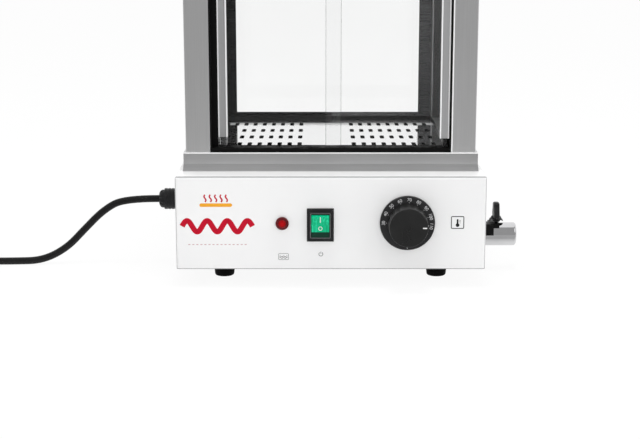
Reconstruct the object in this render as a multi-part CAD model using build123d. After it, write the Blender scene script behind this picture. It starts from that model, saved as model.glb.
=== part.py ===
"""Hot dog steamer: a heated water base, a glazed cabinet with two sliding doors, and a lift-out tray.

Millimetres. X runs to the right as the user sees it, Y away from the user, Z up from the bench.
The pieces are placed from the base's centre line (X), its front panel (Y) and the bench (Z), and are
moved at the end so that the origin lies under the centre of everything but the mains lead.
"""
from build123d import *
import math
import os

# ---------------------------------------------------------------- general fits
running_gap = 0.3        # between pieces that slide past or seat on each other
pin_gap = 0.05           # radial, shaft in its hole
screw_gap = 0.1          # radial, screw in its hole

# ---------------------------------------------------------------- base
foot_height = 22.0       # from the bench to the casing's lower edge
foot_top_radius = 13.0
foot_bottom_radius = 11.6
foot_from_side = 52.4
foot_from_end = 60.0
foot_recess_radius = 6.0
foot_recess_depth = 6.0
foot_screw_radius = 2.5
foot_screw_head_radius = 4.5
foot_screw_head_height = 2.5

base_width = 361.6
base_depth = 392.0
base_height = 110.0
base_wall = 1.5
base_corner = 3.2
base_flange = 14.0
plate_thickness = 1.2
plate_screw_radius = 2.0
plate_screw_head_radius = 4.0
plate_screw_head_height = 2.2
plate_screw_inset = 8.0
plate_screw_rows = 3
vent_width = 4.0
vent_length = 46.0
vent_pitch = 12.0
vent_count = 7

# ---------------------------------------------------------------- cabinet on the base
collar_setback = 33.8
collar_side_inset = 6.6
collar_height = 22.0
collar_wall = 1.2
collar_flare = 1.0
collar_flare_height = 8.6

post_inset_x = 3.5       # collar face to post face, at the sides
post_inset_y = 3.2       # the same at the front and back
post_width = 29.3
post_depth = 24.0
post_wall = 1.2
post_corner = 2.0
post_cap = 3.0
cabinet_height = 372.0

roof_overhang = 3.0
roof_wall = 1.2
roof_skirt = 22.0
roof_corner = 4.0
roof_crown_inset = 26.0
roof_crown_height = 3.0
roof_screw_radius = 2.0
roof_screw_head_radius = 4.0
roof_screw_head_height = 1.8
roof_screw_length = 8.0

# ---------------------------------------------------------------- doors
glass_thickness = 4.0
track_setback = 1.0      # post face to track face
track_depth = 23.0
track_pitch = 10.5       # front groove to rear groove
track_floor = 2.0
groove_width = 6.0
lower_track_height = 5.2
upper_track_height = 16.0
upper_engagement = 6.0
front_stop = 1.7         # thickness of a jamb where the front door closes on it
rear_stop = 8.1          # and where the rear door does
door_width = 145.5
pull_width = 11.0
pull_depth = 8.0
pull_wall = 1.8
pull_groove = 1.2
pull_groove_width = 8.0
pull_lower_gap = 10.8    # from the lower track to the end of a pull
pull_upper_gap = 8.5

# ---------------------------------------------------------------- fixed glass
rear_frame_depth = 7.0
rear_stile_left = 13.4
rear_stile_right = 17.8
rear_bottom_rail = 5.2
rear_top_rail = 22.0
rear_lip = 2.0
rear_rebate = 10.0
side_pane_setback = 3.0  # post's outer face to the pane
channel_wall = 2.0
channel_height = 8.0
channel_gap = 0.2

# ---------------------------------------------------------------- tray and tank
tray_drop = 3.4          # below the collar's flange
tray_sheet = 1.0
tray_side_gap = 1.0      # to the posts
tray_end_gap = 1.0
slot_width = 5.4
slot_length = 25.0
slot_pitch_x = 12.35
slot_pitch_y = 55.5
slot_rows = 4
slot_columns = 9
field_offset = -4.3      # centre of the plain strip
field_strip = 67.0       # between the inner columns
first_slot_row = 122.5   # from the front panel

tank_wall = 1.0
tank_lip = 12.0
tank_corner = 18.0
tank_floor_height = 34.0
tank_neck_gap = 1.0

element_radius = 4.0
element_height = 52.0
element_reach = 70.0     # half the width of the loops
element_inner = 25.0
element_bend = 18.0
element_end_gap = 26.0   # loops to the tank's walls
element_tail = 14.0      # terminals outside the tank
element_nut_radius = 8.0
element_nut_length = 5.0

bulb_radius = 3.0
bulb_length = 80.0
bulb_height = 62.0
bulb_from_wall = 16.0
capillary_radius = 1.0
capillary_bend = 6.0
capillary_lead = 14.0    # straight out of the thermostat
cutout_radius = 8.0
nipple_length = 16.0     # the tank's drain nipple

# ---------------------------------------------------------------- controls
lamp_x = -56.6
lamp_above = 54.7        # above the casing's lower edge, as the other controls
lamp_bezel_radius = 7.7
lamp_bezel_depth = 2.5
lamp_barrel_radius = 6.2
lamp_barrel_length = 24.0
lamp_lens_radius = 5.0
lamp_lens_reach = 5.2

rocker_x = -12.2
rocker_above = 52.8
bezel_width = 31.4
bezel_height = 39.4
bezel_thickness = 2.0
rim_width = 25.4
rim_height = 31.6
rim_reach = 5.6
window_width = 21.8
window_height = 27.8
housing_depth = 26.0
rocker_gap = 0.6
rocker_length = 25.4
rocker_tip_reach = 8.6
rocker_waist_reach = 5.4
rocker_pivot_reach = 2.5
rocker_tilt = 10.0
rocker_pin_radius = 1.4
rocker_pin_length = 1.1

knob_x = 89.0
knob_above = 55.4
dial_radius = 32.0
dial_thickness = 4.0
knob_gap = 0.5
knob_base_radius = 23.4
knob_face_radius = 22.3
knob_length = 26.0
pointer_length = 5.4
pointer_width = 1.5
pointer_edge_gap = 1.2
pointer_depth = 0.6
dimple_radius = 3.2
shaft_radius = 3.0
shaft_in_knob = 13.0
bush_radius = 5.0
bush_reach = 3.0
thermostat_side = 40.0
thermostat_depth = 28.0
thermostat_foot = 30.0
thermostat_foot_depth = 4.5
thermostat_socket = 6.0  # depth of the shaft's hole behind the foot

# ---------------------------------------------------------------- drain valve
valve_y = 92.0
valve_above = 21.5
valve_radius = 14.3
valve_reach = 47.0
valve_round = 3.0
valve_bore = 9.5
valve_bore_length = 14.0
valve_channel = 5.0
ball_radius = 8.0
ball_gap = 0.1
stem_from_side = 22.7
stem_radius = 2.2
spigot_radius = 6.5
spigot_length = 30.0
spigot_bore = 4.5
locknut_radius = 11.0
locknut_thickness = 6.0
hose_wall = 2.4
lever_gap = 2.6          # valve body to the lever's skirt
skirt_radius = 8.8
skirt_top_radius = 5.5
skirt_height = 5.6
paddle_thickness = 7.5
paddle_height = 17.2
paddle_foot_half = 13.0
paddle_tip_half = 6.0
paddle_round = 2.0
stop_inset = 9.0
stop_width = 9.4
stop_depth = 17.0        # in front of the tube's axis
stop_bottom = 1.5        # above the tube's axis
stop_top = 15.6
bridge_half_width = 3.2
bridge_half_depth = 11.0
bridge_top = 15.0        # above the tube's axis

# ---------------------------------------------------------------- mains lead
lead_radius = 4.5
gland_y = 120.0
gland_above = 60.0
gland_radius = 13.1
gland_body_length = 25.0
gland_rings = 5
gland_nut_radius = 11.2
gland_reach = 31.8
gland_dome = 5.0
gland_thread_radius = 10.0
gland_thread_length = 12.0
gland_locknut_radius = 14.0
gland_locknut_thickness = 5.0
terminal_width = 20.0
terminal_length = 40.0
terminal_height = 20.0
terminal_from_side = 38.0
lead_rest = 4.6          # height of the lead's centre on the bench

coil_gap = 0.6
coil_turns = 4.25
coil_outer_radius = 62.0
coil_lift = 6.0          # height of the lower layer's centre
coil_from_side = 316.2   # base's side to the middle of the coil
coil_start_y = 107.0
tie_width = 10.0
tie_thickness = 1.0
tail_length = 90.0       # coil to plug
plug_axis = 18.8
plug_radius = 18.5
plug_face_length = 21.0
plug_grip_length = 32.0
plug_grip_radius = 8.0
plug_pin_radius = 2.4
plug_pin_length = 19.0
plug_pin_spacing = 19.0

# ---------------------------------------------------------------- worked out
side = base_width / 2
base_bottom = foot_height
base_top = base_bottom + base_height
collar_top = base_top + collar_height
roof_seat = collar_top + cabinet_height
collar_half = side - collar_side_inset
collar_front = collar_setback
collar_back = base_depth - collar_setback
post_outer = collar_half - post_inset_x
post_inner = post_outer - post_width
post_front = collar_front + post_inset_y
post_back = collar_back - post_inset_y
track_front = post_front + track_setback
track_back = track_front + track_depth
groove_front_y = track_front + (track_depth - track_pitch) / 2
groove_rear_y = groove_front_y + track_pitch
lower_track_top = collar_top + lower_track_height
upper_track_bottom = roof_seat - upper_track_height
rear_frame_front = post_back - rear_frame_depth
tray_half = post_inner - tray_side_gap
tray_front = track_back + 2 * tray_end_gap + collar_wall
tray_back = rear_frame_front - 2 * tray_end_gap
tray_top = collar_top - tray_drop
hem_half = tray_half + tray_side_gap + collar_wall
hem_front = tray_front - tray_end_gap
hem_back = tray_back + tray_end_gap
lip_top = base_top + plate_thickness
tank_half = tray_half - tank_lip
tank_front = tray_front + tank_lip
tank_back = tray_back - tank_lip
knob_z = base_bottom + knob_above
knob_back = -dial_thickness - knob_gap
knob_front = knob_back - knob_length
rocker_z = base_bottom + rocker_above
lamp_z = base_bottom + lamp_above
valve_z = base_bottom + valve_above
valve_end = side + valve_reach
stem_x = side + stem_from_side
lever_bottom = valve_z + valve_radius + lever_gap
gland_z = base_bottom + gland_above
gland_end = -side - gland_reach
plate_bottom = base_bottom + base_wall
plate_top = plate_bottom + plate_thickness
coil_x = -side - coil_from_side
coil_y = coil_start_y + coil_outer_radius
coil_pitch = 2 * lead_radius + coil_gap
coil_top_layer = coil_lift + coil_pitch
tail_x = coil_x - coil_outer_radius
tail_end_y = coil_y + tail_length

origin_x = (valve_end - side) / 2
origin_y = (knob_front + base_depth) / 2

feet = {
    f"{row}_{hand}": (sign * (side - foot_from_side), y)
    for row, y in (("front", foot_from_end), ("rear", base_depth - foot_from_end))
    for hand, sign in (("left", -1), ("right", 1))
}
plate_screw_pitch = (base_depth - 2 * foot_from_end) / (plate_screw_rows - 1)
plate_screws = [
    (sign * (side - plate_screw_inset), foot_from_end + row * plate_screw_pitch)
    for sign in (-1, 1)
    for row in range(plate_screw_rows)
]
posts = {
    f"{row}_{hand}": (sign * (post_outer - post_width / 2), y)
    for row, y in (("front", post_front + post_depth / 2), ("rear", post_back - post_depth / 2))
    for hand, sign in (("left", -1), ("right", 1))
}

# The lead's route from the gland to the coil: down to the bench, and away from the base's side.
lead_route = [
    (gland_end, gland_y, gland_z),
    (gland_end - 44, gland_y, gland_z),
    (gland_end - 70, gland_y + 1, gland_z - 14.5),
    (gland_end - 94, gland_y + 1, gland_z - 38.5),
    (gland_end - 117, gland_y - 2, gland_z - 62.5),
    (gland_end - 147, gland_y - 7, lead_rest),
    (gland_end - 182, gland_y - 11, lead_rest),
    (gland_end - 219, coil_start_y, lead_rest + 0.4),
    (coil_x + 2 * lead_radius, coil_start_y, coil_lift),
]
tail_run = (tail_length - 2 * lead_radius) / 3
tail_route = [
    (tail_x, coil_y + 2 * lead_radius, coil_top_layer),
    (tail_x, tail_end_y - 2 * tail_run, coil_top_layer),
    (tail_x, tail_end_y - tail_run, plug_axis),
    (tail_x, tail_end_y, plug_axis),
]


# ---------------------------------------------------------------- helpers
def block(x0, x1, y0, y1, z0, z1):
    """A box between two corners."""
    centre = Pos((x0 + x1) / 2, (y0 + y1) / 2, (z0 + z1) / 2)
    return centre * Box(x1 - x0, y1 - y0, z1 - z0)


def rod(axis, start, end, radius, u, v):
    """A cylinder along an axis; u and v are its other two coordinates, in X, Y, Z order."""
    middle = (start + end) / 2
    length = end - start
    if axis == "X":
        return Pos(middle, u, v) * Rot(0, 90, 0) * Cylinder(radius, length)
    if axis == "Y":
        return Pos(u, middle, v) * Rot(90, 0, 0) * Cylinder(radius, length)
    return Pos(u, v, middle) * Cylinder(radius, length)


def round_block(x0, x1, y0, y1, z0, z1, radius):
    """A box with its upright edges rounded."""
    body = block(x0, x1, y0, y1, z0, z1)
    return fillet(body.edges().filter_by(Axis.Z), radius)


def folded_box(x0, x1, y0, y1, z0, z1, radius):
    """A box with its upright and top edges rounded, as folded sheet."""
    body = block(x0, x1, y0, y1, z0, z1)
    top = body.faces().sort_by(Axis.Z)[-1].edges()
    return fillet(body.edges().filter_by(Axis.Z) + top, radius)


def hexagon(axis, start, end, radius, bore, u, v):
    """A hexagonal nut along X or Y, with a round bore."""
    plane = Plane.YZ if axis == "X" else Plane.XZ
    face = plane * RegularPolygon(radius, 6)
    body = extrude(face, (end - start) / 2, both=True)
    centre = ((start + end) / 2, u, v) if axis == "X" else (u, (start + end) / 2, v)
    return Pos(*centre) * body - rod(axis, start - 1, end + 1, bore, u, v)


def corner_radii(points):
    """The arc at each corner of a route: as large as its two runs allow."""
    radii = []
    for before, corner, after in zip(points, points[1:], points[2:]):
        run_in = Vector(*corner) - Vector(*before)
        run_out = Vector(*after) - Vector(*corner)
        half_turn = math.radians(run_in.get_angle(run_out)) / 2
        radii.append(0.45 * min(run_in.length, run_out.length) / math.tan(half_turn))
    return radii


def tube(points, radius, radii):
    """A round tube along straight runs joined by arcs."""
    path = FilletPolyline(*points, radius=radii)
    start = Plane(origin=path @ 0, z_dir=path % 0)
    return sweep(start * Circle(radius), path=path), path


# ---------------------------------------------------------------- base
def base_casing():
    outer = folded_box(-side, side, 0, base_depth, base_bottom, base_top, base_corner)
    inner = folded_box(
        -side + base_wall, side - base_wall, base_wall, base_depth - base_wall,
        base_bottom - base_height, base_top - base_wall, base_corner - base_wall,
    )
    flange = block(-side + base_wall / 2, side - base_wall / 2, base_wall / 2, base_depth - base_wall / 2,
                   base_bottom, plate_bottom)
    flange -= block(-side + base_flange, side - base_flange, base_flange, base_depth - base_flange,
                    base_bottom - 1, plate_bottom + 1)
    shell = outer - inner + flange
    neck = tank_neck_gap
    shell -= round_block(-tank_half - neck, tank_half + neck, tank_front - neck, tank_back + neck,
                         base_top - 2 * base_corner, base_top + 1, tank_corner + neck)
    shell -= rod("Y", -1, base_wall + 1, lamp_barrel_radius + screw_gap, lamp_x, lamp_z)
    shell -= rod("Y", -1, base_wall + 1, bush_radius + screw_gap, knob_x, knob_z)
    shell -= block(rocker_x - housing_width() / 2 - screw_gap, rocker_x + housing_width() / 2 + screw_gap,
                   -1, base_wall + 1,
                   rocker_z - housing_height() / 2 - screw_gap, rocker_z + housing_height() / 2 + screw_gap)
    shell -= rod("X", -side - 1, -side + base_wall + 1, gland_thread_radius + screw_gap, gland_y, gland_z)
    shell -= rod("X", side - base_wall - 1, side + 1, spigot_radius + screw_gap, valve_y, valve_z)
    for x, y in plate_screws:
        shell -= rod("Z", base_bottom - 1, plate_bottom + 1, plate_screw_radius + screw_gap, x, y)
    return shell


def base_plate():
    half = side - base_wall - running_gap
    plate = round_block(-half, half, base_wall + running_gap, base_depth - base_wall - running_gap,
                        plate_bottom, plate_top, base_corner)
    for x, y in feet.values():
        plate -= rod("Z", plate_bottom - 1, plate_top + 1, foot_screw_radius + screw_gap, x, y)
    for x, y in plate_screws:
        plate -= rod("Z", plate_bottom - 1, plate_top + 1, plate_screw_radius + screw_gap, x, y)
    slot = extrude(SlotOverall(vent_length, vent_width, rotation=90), plate_thickness + 1, both=True)
    for column in range(vent_count):
        x = (column - (vent_count - 1) / 2) * vent_pitch
        for y in (foot_from_end, base_depth - foot_from_end):
            plate -= Pos(x, y, plate_bottom) * slot
    return plate


def foot(x, y):
    body = Pos(x, y, plate_bottom / 2) * Cone(foot_bottom_radius, foot_top_radius, plate_bottom)
    body -= rod("Z", -1, foot_recess_depth, foot_recess_radius, x, y)
    return body - rod("Z", -1, plate_bottom + 1, foot_screw_radius + screw_gap, x, y)


def foot_screw(x, y):
    head_bottom = foot_recess_depth - foot_screw_head_height
    head = rod("Z", head_bottom, foot_recess_depth, foot_screw_head_radius, x, y)
    return head + rod("Z", foot_recess_depth, plate_top + 2, foot_screw_radius, x, y)


def plate_screw(x, y):
    head = rod("Z", base_bottom - plate_screw_head_height, base_bottom, plate_screw_head_radius, x, y)
    return head + rod("Z", base_bottom, plate_top + 2, plate_screw_radius, x, y)


# ---------------------------------------------------------------- tank, heater and sensors
def drain_nipple(radius):
    return rod("X", tank_half - tank_wall / 2, tank_half + nipple_length, radius, valve_y, valve_z)


def tank_wall_cut(x, z, radius):
    return rod("Y", tank_front - 1, tank_front + tank_wall + 1, radius, x, z)


def water_tank():
    outer = round_block(-tank_half, tank_half, tank_front, tank_back,
                        tank_floor_height, lip_top, tank_corner)
    inner = round_block(-tank_half + tank_wall, tank_half - tank_wall, tank_front + tank_wall,
                        tank_back - tank_wall, tank_floor_height + tank_wall, lip_top + 1,
                        tank_corner - tank_wall)
    lip = round_block(-tray_half, tray_half, tray_front, tray_back, base_top, lip_top, base_corner)
    tank = outer + lip + drain_nipple(spigot_radius) - inner
    tank -= rod("X", tank_half - tank_wall - 1, tank_half + nipple_length + 1, spigot_bore, valve_y, valve_z)
    for x in (-element_reach, element_reach):
        tank -= tank_wall_cut(x, element_height, element_radius + screw_gap)
    return tank - tank_wall_cut(knob_x, bulb_height, capillary_radius + screw_gap)


def heating_element():
    near = tank_front + element_end_gap + element_bend
    far = tank_back - element_end_gap
    start = tank_front - element_tail
    points = [
        (-element_reach, start, element_height), (-element_reach, far, element_height),
        (-element_inner, far, element_height), (-element_inner, near, element_height),
        (element_inner, near, element_height), (element_inner, far, element_height),
        (element_reach, far, element_height), (element_reach, start, element_height),
    ]
    return tube(points, element_radius, [element_bend] * 6)[0]


def element_nuts():
    nuts = [
        hexagon("Y", tank_front - element_nut_length, tank_front, element_nut_radius,
                element_radius + pin_gap, x, element_height)
        for x in (-element_reach, element_reach)
    ]
    return nuts[0] + nuts[1]


def thermostat_back():
    return base_wall + thermostat_foot_depth + thermostat_depth


def sensor_bulb():
    start = thermostat_back()
    entry = tank_front + tank_wall + bulb_from_wall
    points = [
        (knob_x, start, knob_z), (knob_x, start + capillary_lead, knob_z),
        (knob_x, start + 2 * capillary_lead, bulb_height), (knob_x, entry, bulb_height),
    ]
    capillary = tube(points, capillary_radius, [capillary_bend] * 2)[0]
    bulb = rod("Y", entry, entry + bulb_length, bulb_radius, knob_x, bulb_height)
    return capillary + bulb


def dry_boil_cutout():
    middle = (tank_front + tank_back) / 2
    return rod("Z", plate_top + running_gap, tank_floor_height, cutout_radius, 0, middle)


# ---------------------------------------------------------------- controls
def housing_width():
    return (window_width + rim_width) / 2


def housing_height():
    return (window_height + rim_height) / 2


def centred(width, height, y0, y1, x, z):
    """A box about a control's centre, from depth y0 to y1."""
    return block(x - width / 2, x + width / 2, y0, y1, z - height / 2, z + height / 2)


def lamp_body():
    bezel = rod("Y", -lamp_bezel_depth, 0, lamp_bezel_radius, lamp_x, lamp_z)
    bezel = chamfer(bezel.faces().sort_by(Axis.Y)[0].edges(), lamp_bezel_depth / 3)
    body = bezel + rod("Y", -0.5, lamp_barrel_length, lamp_barrel_radius, lamp_x, lamp_z)
    return body - rod("Y", -lamp_bezel_depth - 1, lamp_barrel_length / 3,
                      lamp_lens_radius + pin_gap, lamp_x, lamp_z)


def lamp_lens():
    lens = rod("Y", -lamp_lens_reach, lamp_barrel_length / 3, lamp_lens_radius, lamp_x, lamp_z)
    return fillet(lens.faces().sort_by(Axis.Y)[0].edges(), lamp_lens_reach - lamp_bezel_depth)


def rocker_housing():
    flange = centred(bezel_width, bezel_height, -bezel_thickness, 0, rocker_x, rocker_z)
    flange = chamfer(flange.faces().sort_by(Axis.Y)[0].edges(), bezel_thickness * 0.6)
    rim = centred(rim_width, rim_height, -rim_reach, 0, rocker_x, rocker_z)
    rim = fillet(rim.faces().sort_by(Axis.Y)[0].edges(), 0.6)
    box = centred(housing_width(), housing_height(), -1, housing_depth, rocker_x, rocker_z)
    body = flange + rim + box
    body -= centred(window_width, window_height, -rim_reach - 1, housing_depth - base_wall,
                    rocker_x, rocker_z)
    half = window_width / 2
    for sign in (-1, 1):
        socket = half + rocker_pin_length
        ends = sorted((rocker_x + sign * (half - 1), rocker_x + sign * socket))
        body -= rod("X", *ends, rocker_pin_radius + pin_gap, -rocker_pivot_reach, rocker_z)
    return body


def rocker_button():
    half = rocker_length / 2
    outline = Polyline(
        (-rocker_tip_reach, half), (-rocker_waist_reach, 0), (-rocker_tip_reach, -half),
        (-rocker_pivot_reach + 1, -half), (3, -9), (6, -2), (6, 2), (3, 9), (-rocker_pivot_reach + 1, half),
        close=True,
    )
    width = window_width - 2 * rocker_gap
    button = extrude(Plane.YZ * make_face(outline), width / 2, both=True)
    pin_half = window_width / 2 + rocker_pin_length - running_gap
    button += rod("X", -pin_half, pin_half, rocker_pin_radius, -rocker_pivot_reach, 0)
    pivot = Pos(0, -rocker_pivot_reach, 0)
    tilted = pivot * Rot(rocker_tilt, 0, 0) * pivot.inverse() * button
    return Pos(rocker_x, 0, rocker_z) * tilted


def dial_ring():
    ring = rod("Y", -dial_thickness, 0, dial_radius, knob_x, knob_z)
    ring = chamfer(ring.faces().sort_by(Axis.Y)[0].edges(), 1.0)
    return ring - rod("Y", -dial_thickness - 1, 1, bush_radius + screw_gap, knob_x, knob_z)


def control_knob():
    body = Pos(knob_x, (knob_back + knob_front) / 2, knob_z) * Rot(90, 0, 0)
    body *= Cone(knob_base_radius, knob_face_radius, knob_length)
    body = fillet(body.faces().sort_by(Axis.Y)[0].edges(), 1.4)
    body -= rod("Y", knob_front - 1, knob_front + pointer_depth, dimple_radius, knob_x, knob_z)
    pointer_end = knob_x + knob_face_radius - pointer_edge_gap
    body -= block(pointer_end - pointer_length, pointer_end, knob_front - 1, knob_front + pointer_depth,
                  knob_z - pointer_width / 2, knob_z + pointer_width / 2)
    return body - rod("Y", knob_back - shaft_in_knob - running_gap, knob_back + 1,
                      shaft_radius + pin_gap, knob_x, knob_z)


def thermostat_shaft():
    end = base_wall + thermostat_foot_depth + thermostat_socket
    return rod("Y", knob_back - shaft_in_knob, end, shaft_radius, knob_x, knob_z)


def thermostat_body():
    foot_back = base_wall + thermostat_foot_depth
    body = centred(thermostat_foot, thermostat_foot, base_wall, foot_back, knob_x, knob_z)
    body += centred(thermostat_side, thermostat_side, foot_back, thermostat_back(), knob_x, knob_z)
    body += rod("Y", -bush_reach, foot_back, bush_radius, knob_x, knob_z)
    return body - rod("Y", -bush_reach - 1, foot_back + thermostat_socket + running_gap,
                      shaft_radius + pin_gap, knob_x, knob_z)


# ---------------------------------------------------------------- drain valve
def valve_body():
    body = rod("X", side, valve_end, valve_radius, valve_y, valve_z)
    body = fillet(body.faces().sort_by(Axis.X)[-1].edges(), valve_round)
    body += rod("X", side - spigot_length, side + 1, spigot_radius, valve_y, valve_z)
    body -= rod("X", side - spigot_length - 1, side + 1, spigot_bore, valve_y, valve_z)
    body -= rod("X", side - 1, valve_end, valve_channel, valve_y, valve_z)
    body -= rod("X", valve_end - valve_bore_length, valve_end + 1, valve_bore, valve_y, valve_z)
    body -= Pos(stem_x, valve_y, valve_z) * Sphere(ball_radius + ball_gap)
    return body - rod("Z", valve_z, valve_z + valve_radius + 1, stem_radius + pin_gap, stem_x, valve_y)


def ball_flat():
    return valve_z + ball_radius - 1


def valve_ball():
    ball = Pos(stem_x, valve_y, valve_z) * Sphere(ball_radius)
    ball -= rod("Y", valve_y - ball_radius - 1, valve_y + ball_radius + 1, valve_channel, stem_x, valve_z)
    return ball - block(stem_x - ball_radius, stem_x + ball_radius, valve_y - ball_radius,
                        valve_y + ball_radius, ball_flat(), valve_z + 2 * ball_radius)


def valve_stem():
    return rod("Z", ball_flat(), lever_bottom, stem_radius, stem_x, valve_y)


def drain_lever():
    """A flared skirt under an upright paddle, which stands across the tube when the valve is shut."""
    skirt = Pos(stem_x, valve_y, lever_bottom + skirt_height / 2)
    skirt *= Cone(skirt_radius, skirt_top_radius, skirt_height)
    foot_z = lever_bottom + skirt_height / 2
    knee_z = foot_z + paddle_height / 3
    tip_z = lever_bottom + skirt_height + paddle_height
    outline = Polyline(
        (-paddle_foot_half + paddle_round, foot_z), (-paddle_foot_half, knee_z),
        (-paddle_tip_half, tip_z), (paddle_tip_half, tip_z),
        (paddle_foot_half, knee_z), (paddle_foot_half - paddle_round, foot_z),
        close=True,
    )
    paddle = extrude(Plane.YZ * make_face(outline), paddle_thickness / 2, both=True)
    paddle = fillet(paddle.edges().filter_by(Axis.X), paddle_round)
    return skirt + Pos(stem_x, valve_y, 0) * paddle


def valve_stop():
    """The saddle on the tube: a stop block beside the casing, and a bridge round the stem."""
    start = side + stop_inset
    body = block(start, start + stop_width, valve_y - stop_depth, valve_y,
                 valve_z + stop_bottom, valve_z + stop_top)
    body += block(start + stop_width / 2, stem_x + bridge_half_width, valve_y - bridge_half_depth,
                  valve_y + bridge_half_depth, valve_z, valve_z + bridge_top)
    body -= rod("X", side, valve_end, valve_radius, valve_y, valve_z)
    return body - rod("Z", valve_z, valve_z + stop_top + 1, stem_radius + pin_gap, stem_x, valve_y)


def valve_locknut():
    inside = side - base_wall
    return hexagon("X", inside - locknut_thickness, inside, locknut_radius,
                   spigot_radius + pin_gap, valve_y, valve_z)


def drain_hose():
    start = tank_half + running_gap
    end = side - base_wall - locknut_thickness - 1
    hose = rod("X", start, end, spigot_radius + hose_wall, valve_y, valve_z)
    return hose - rod("X", start - 1, end + 1, spigot_radius + pin_gap, valve_y, valve_z)


# ---------------------------------------------------------------- cabinet
def collar_section(z, flare):
    return Pos(0, (collar_front + collar_back) / 2, z) * Rectangle(
        2 * (collar_half - collar_flare + flare), collar_back - collar_front - 2 * (collar_flare - flare))


def collar_shape(inset):
    """The collar's outside, or with an inset its inside."""
    sections = [
        collar_section(base_top, collar_flare - inset),
        collar_section(base_top + collar_flare_height, -inset),
        collar_section(collar_top - inset, -inset),
    ]
    return loft(sections, ruled=True)


def lower_collar():
    flare_wall = collar_wall
    shell = collar_shape(0) - collar_shape(flare_wall)
    hem = block(-hem_half, hem_half, hem_front - collar_wall, hem_back + collar_wall, base_top, collar_top)
    hole = block(-hem_half + collar_wall, hem_half - collar_wall, hem_front, hem_back,
                 base_top - 1, collar_top + 1)
    return shell + hem - hole


def post(x, y):
    half_x = post_width / 2
    half_y = post_depth / 2
    body = round_block(x - half_x, x + half_x, y - half_y, y + half_y, collar_top, roof_seat, post_corner)
    body -= block(x - half_x + post_wall, x + half_x - post_wall, y - half_y + post_wall,
                  y + half_y - post_wall, collar_top - 1, roof_seat - post_cap)
    return body - rod("Z", roof_seat - post_cap - 1, roof_seat + 1, roof_screw_radius + pin_gap, x, y)


def roof():
    half = collar_half + roof_overhang - collar_flare
    front = collar_front - roof_overhang + collar_flare
    back = collar_back + roof_overhang - collar_flare
    top = roof_seat + roof_wall
    outer = folded_box(-half, half, front, back, top - roof_skirt, top, roof_corner)
    outer += round_block(-half + roof_crown_inset, half - roof_crown_inset, front + roof_crown_inset,
                         back - roof_crown_inset, roof_seat, top + roof_crown_height, roof_crown_inset / 2)
    inner = block(-half + roof_wall, half - roof_wall, front + roof_wall, back - roof_wall,
                  roof_seat - roof_skirt - 1, roof_seat)
    inner = fillet(inner.edges().filter_by(Axis.Z), roof_corner - roof_wall)
    crown = round_block(-half + roof_crown_inset + roof_wall, half - roof_crown_inset - roof_wall,
                        front + roof_crown_inset + roof_wall, back - roof_crown_inset - roof_wall,
                        roof_seat - 1, roof_seat + roof_crown_height, roof_crown_inset / 2 - roof_wall)
    body = outer - inner - crown
    for x, y in posts.values():
        body -= rod("Z", roof_seat - 1, top + 1, roof_screw_radius + screw_gap, x, y)
    return body


def roof_screw(x, y):
    top = roof_seat + roof_wall
    head = rod("Z", top, top + roof_screw_head_height, roof_screw_head_radius, x, y)
    return head + rod("Z", top - roof_screw_length, top, roof_screw_radius, x, y)


# ---------------------------------------------------------------- doors
def grooves(z0, z1):
    """The two grooves that the doors run in, between two heights."""
    half = groove_width / 2
    cuts = [block(-post_inner - 1, post_inner + 1, y - half, y + half, z0, z1)
            for y in (groove_front_y, groove_rear_y)]
    return cuts[0] + cuts[1]


def lower_door_track():
    body = block(-post_inner, post_inner, track_front, track_back, collar_top, lower_track_top)
    return body - grooves(collar_top + track_floor, lower_track_top + 1)


def upper_door_track():
    body = block(-post_inner, post_inner, track_front, track_back, upper_track_bottom, roof_seat)
    return body - grooves(upper_track_bottom - 1, roof_seat - track_floor)


def door_jamb(sign):
    """The upright strip that the doors close on, thicker behind than in front."""
    step = (groove_front_y + groove_rear_y) / 2
    front = block(*sorted((sign * post_inner, sign * (post_inner - front_stop))),
                  track_front, step, lower_track_top, upper_track_bottom)
    rear = block(*sorted((sign * post_inner, sign * (post_inner - rear_stop))),
                 step, track_back, lower_track_top, upper_track_bottom)
    return front + rear


def door_outer_edge(sign):
    """The closed door's outer edge: the left door runs behind, the right one in front."""
    stop = rear_stop if sign < 0 else front_stop
    return sign * (post_inner - stop - running_gap)


def door_plane(sign):
    return groove_rear_y if sign < 0 else groove_front_y


def door_glass(sign):
    outer = door_outer_edge(sign) - sign * pull_wall
    inner = door_outer_edge(sign) - sign * door_width
    y = door_plane(sign)
    bottom = collar_top + track_floor + running_gap
    top = upper_track_bottom + upper_engagement
    pane = block(*sorted((outer, inner)), y - glass_thickness / 2, y + glass_thickness / 2, bottom, top)
    return chamfer(pane.edges().filter_by(Axis.Z), 0.4)


def door_pull(sign):
    """A channel over the glass's outer edge, with a shallow finger groove down its face."""
    outer = door_outer_edge(sign)
    inner = outer - sign * pull_width
    y = door_plane(sign)
    z0 = lower_track_top + pull_lower_gap
    z1 = upper_track_bottom - pull_upper_gap
    body = block(*sorted((outer, inner)), y - pull_depth / 2, y + pull_depth / 2, z0, z1)
    body = fillet(body.edges().filter_by(Axis.Z), 0.6)
    slot_outer = outer - sign * pull_wall
    body -= block(*sorted((slot_outer, inner - sign)), y - glass_thickness / 2, y + glass_thickness / 2,
                  z0 - 1, z1 + 1)
    middle = (outer + inner) / 2
    return body - block(middle - pull_groove_width / 2, middle + pull_groove_width / 2,
                        y - pull_depth / 2 - 1, y - pull_depth / 2 + pull_groove, z0 - 1, z1 + 1)


# ---------------------------------------------------------------- fixed glass
def rear_window():
    return -post_inner + rear_stile_left, post_inner - rear_stile_right


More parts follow.
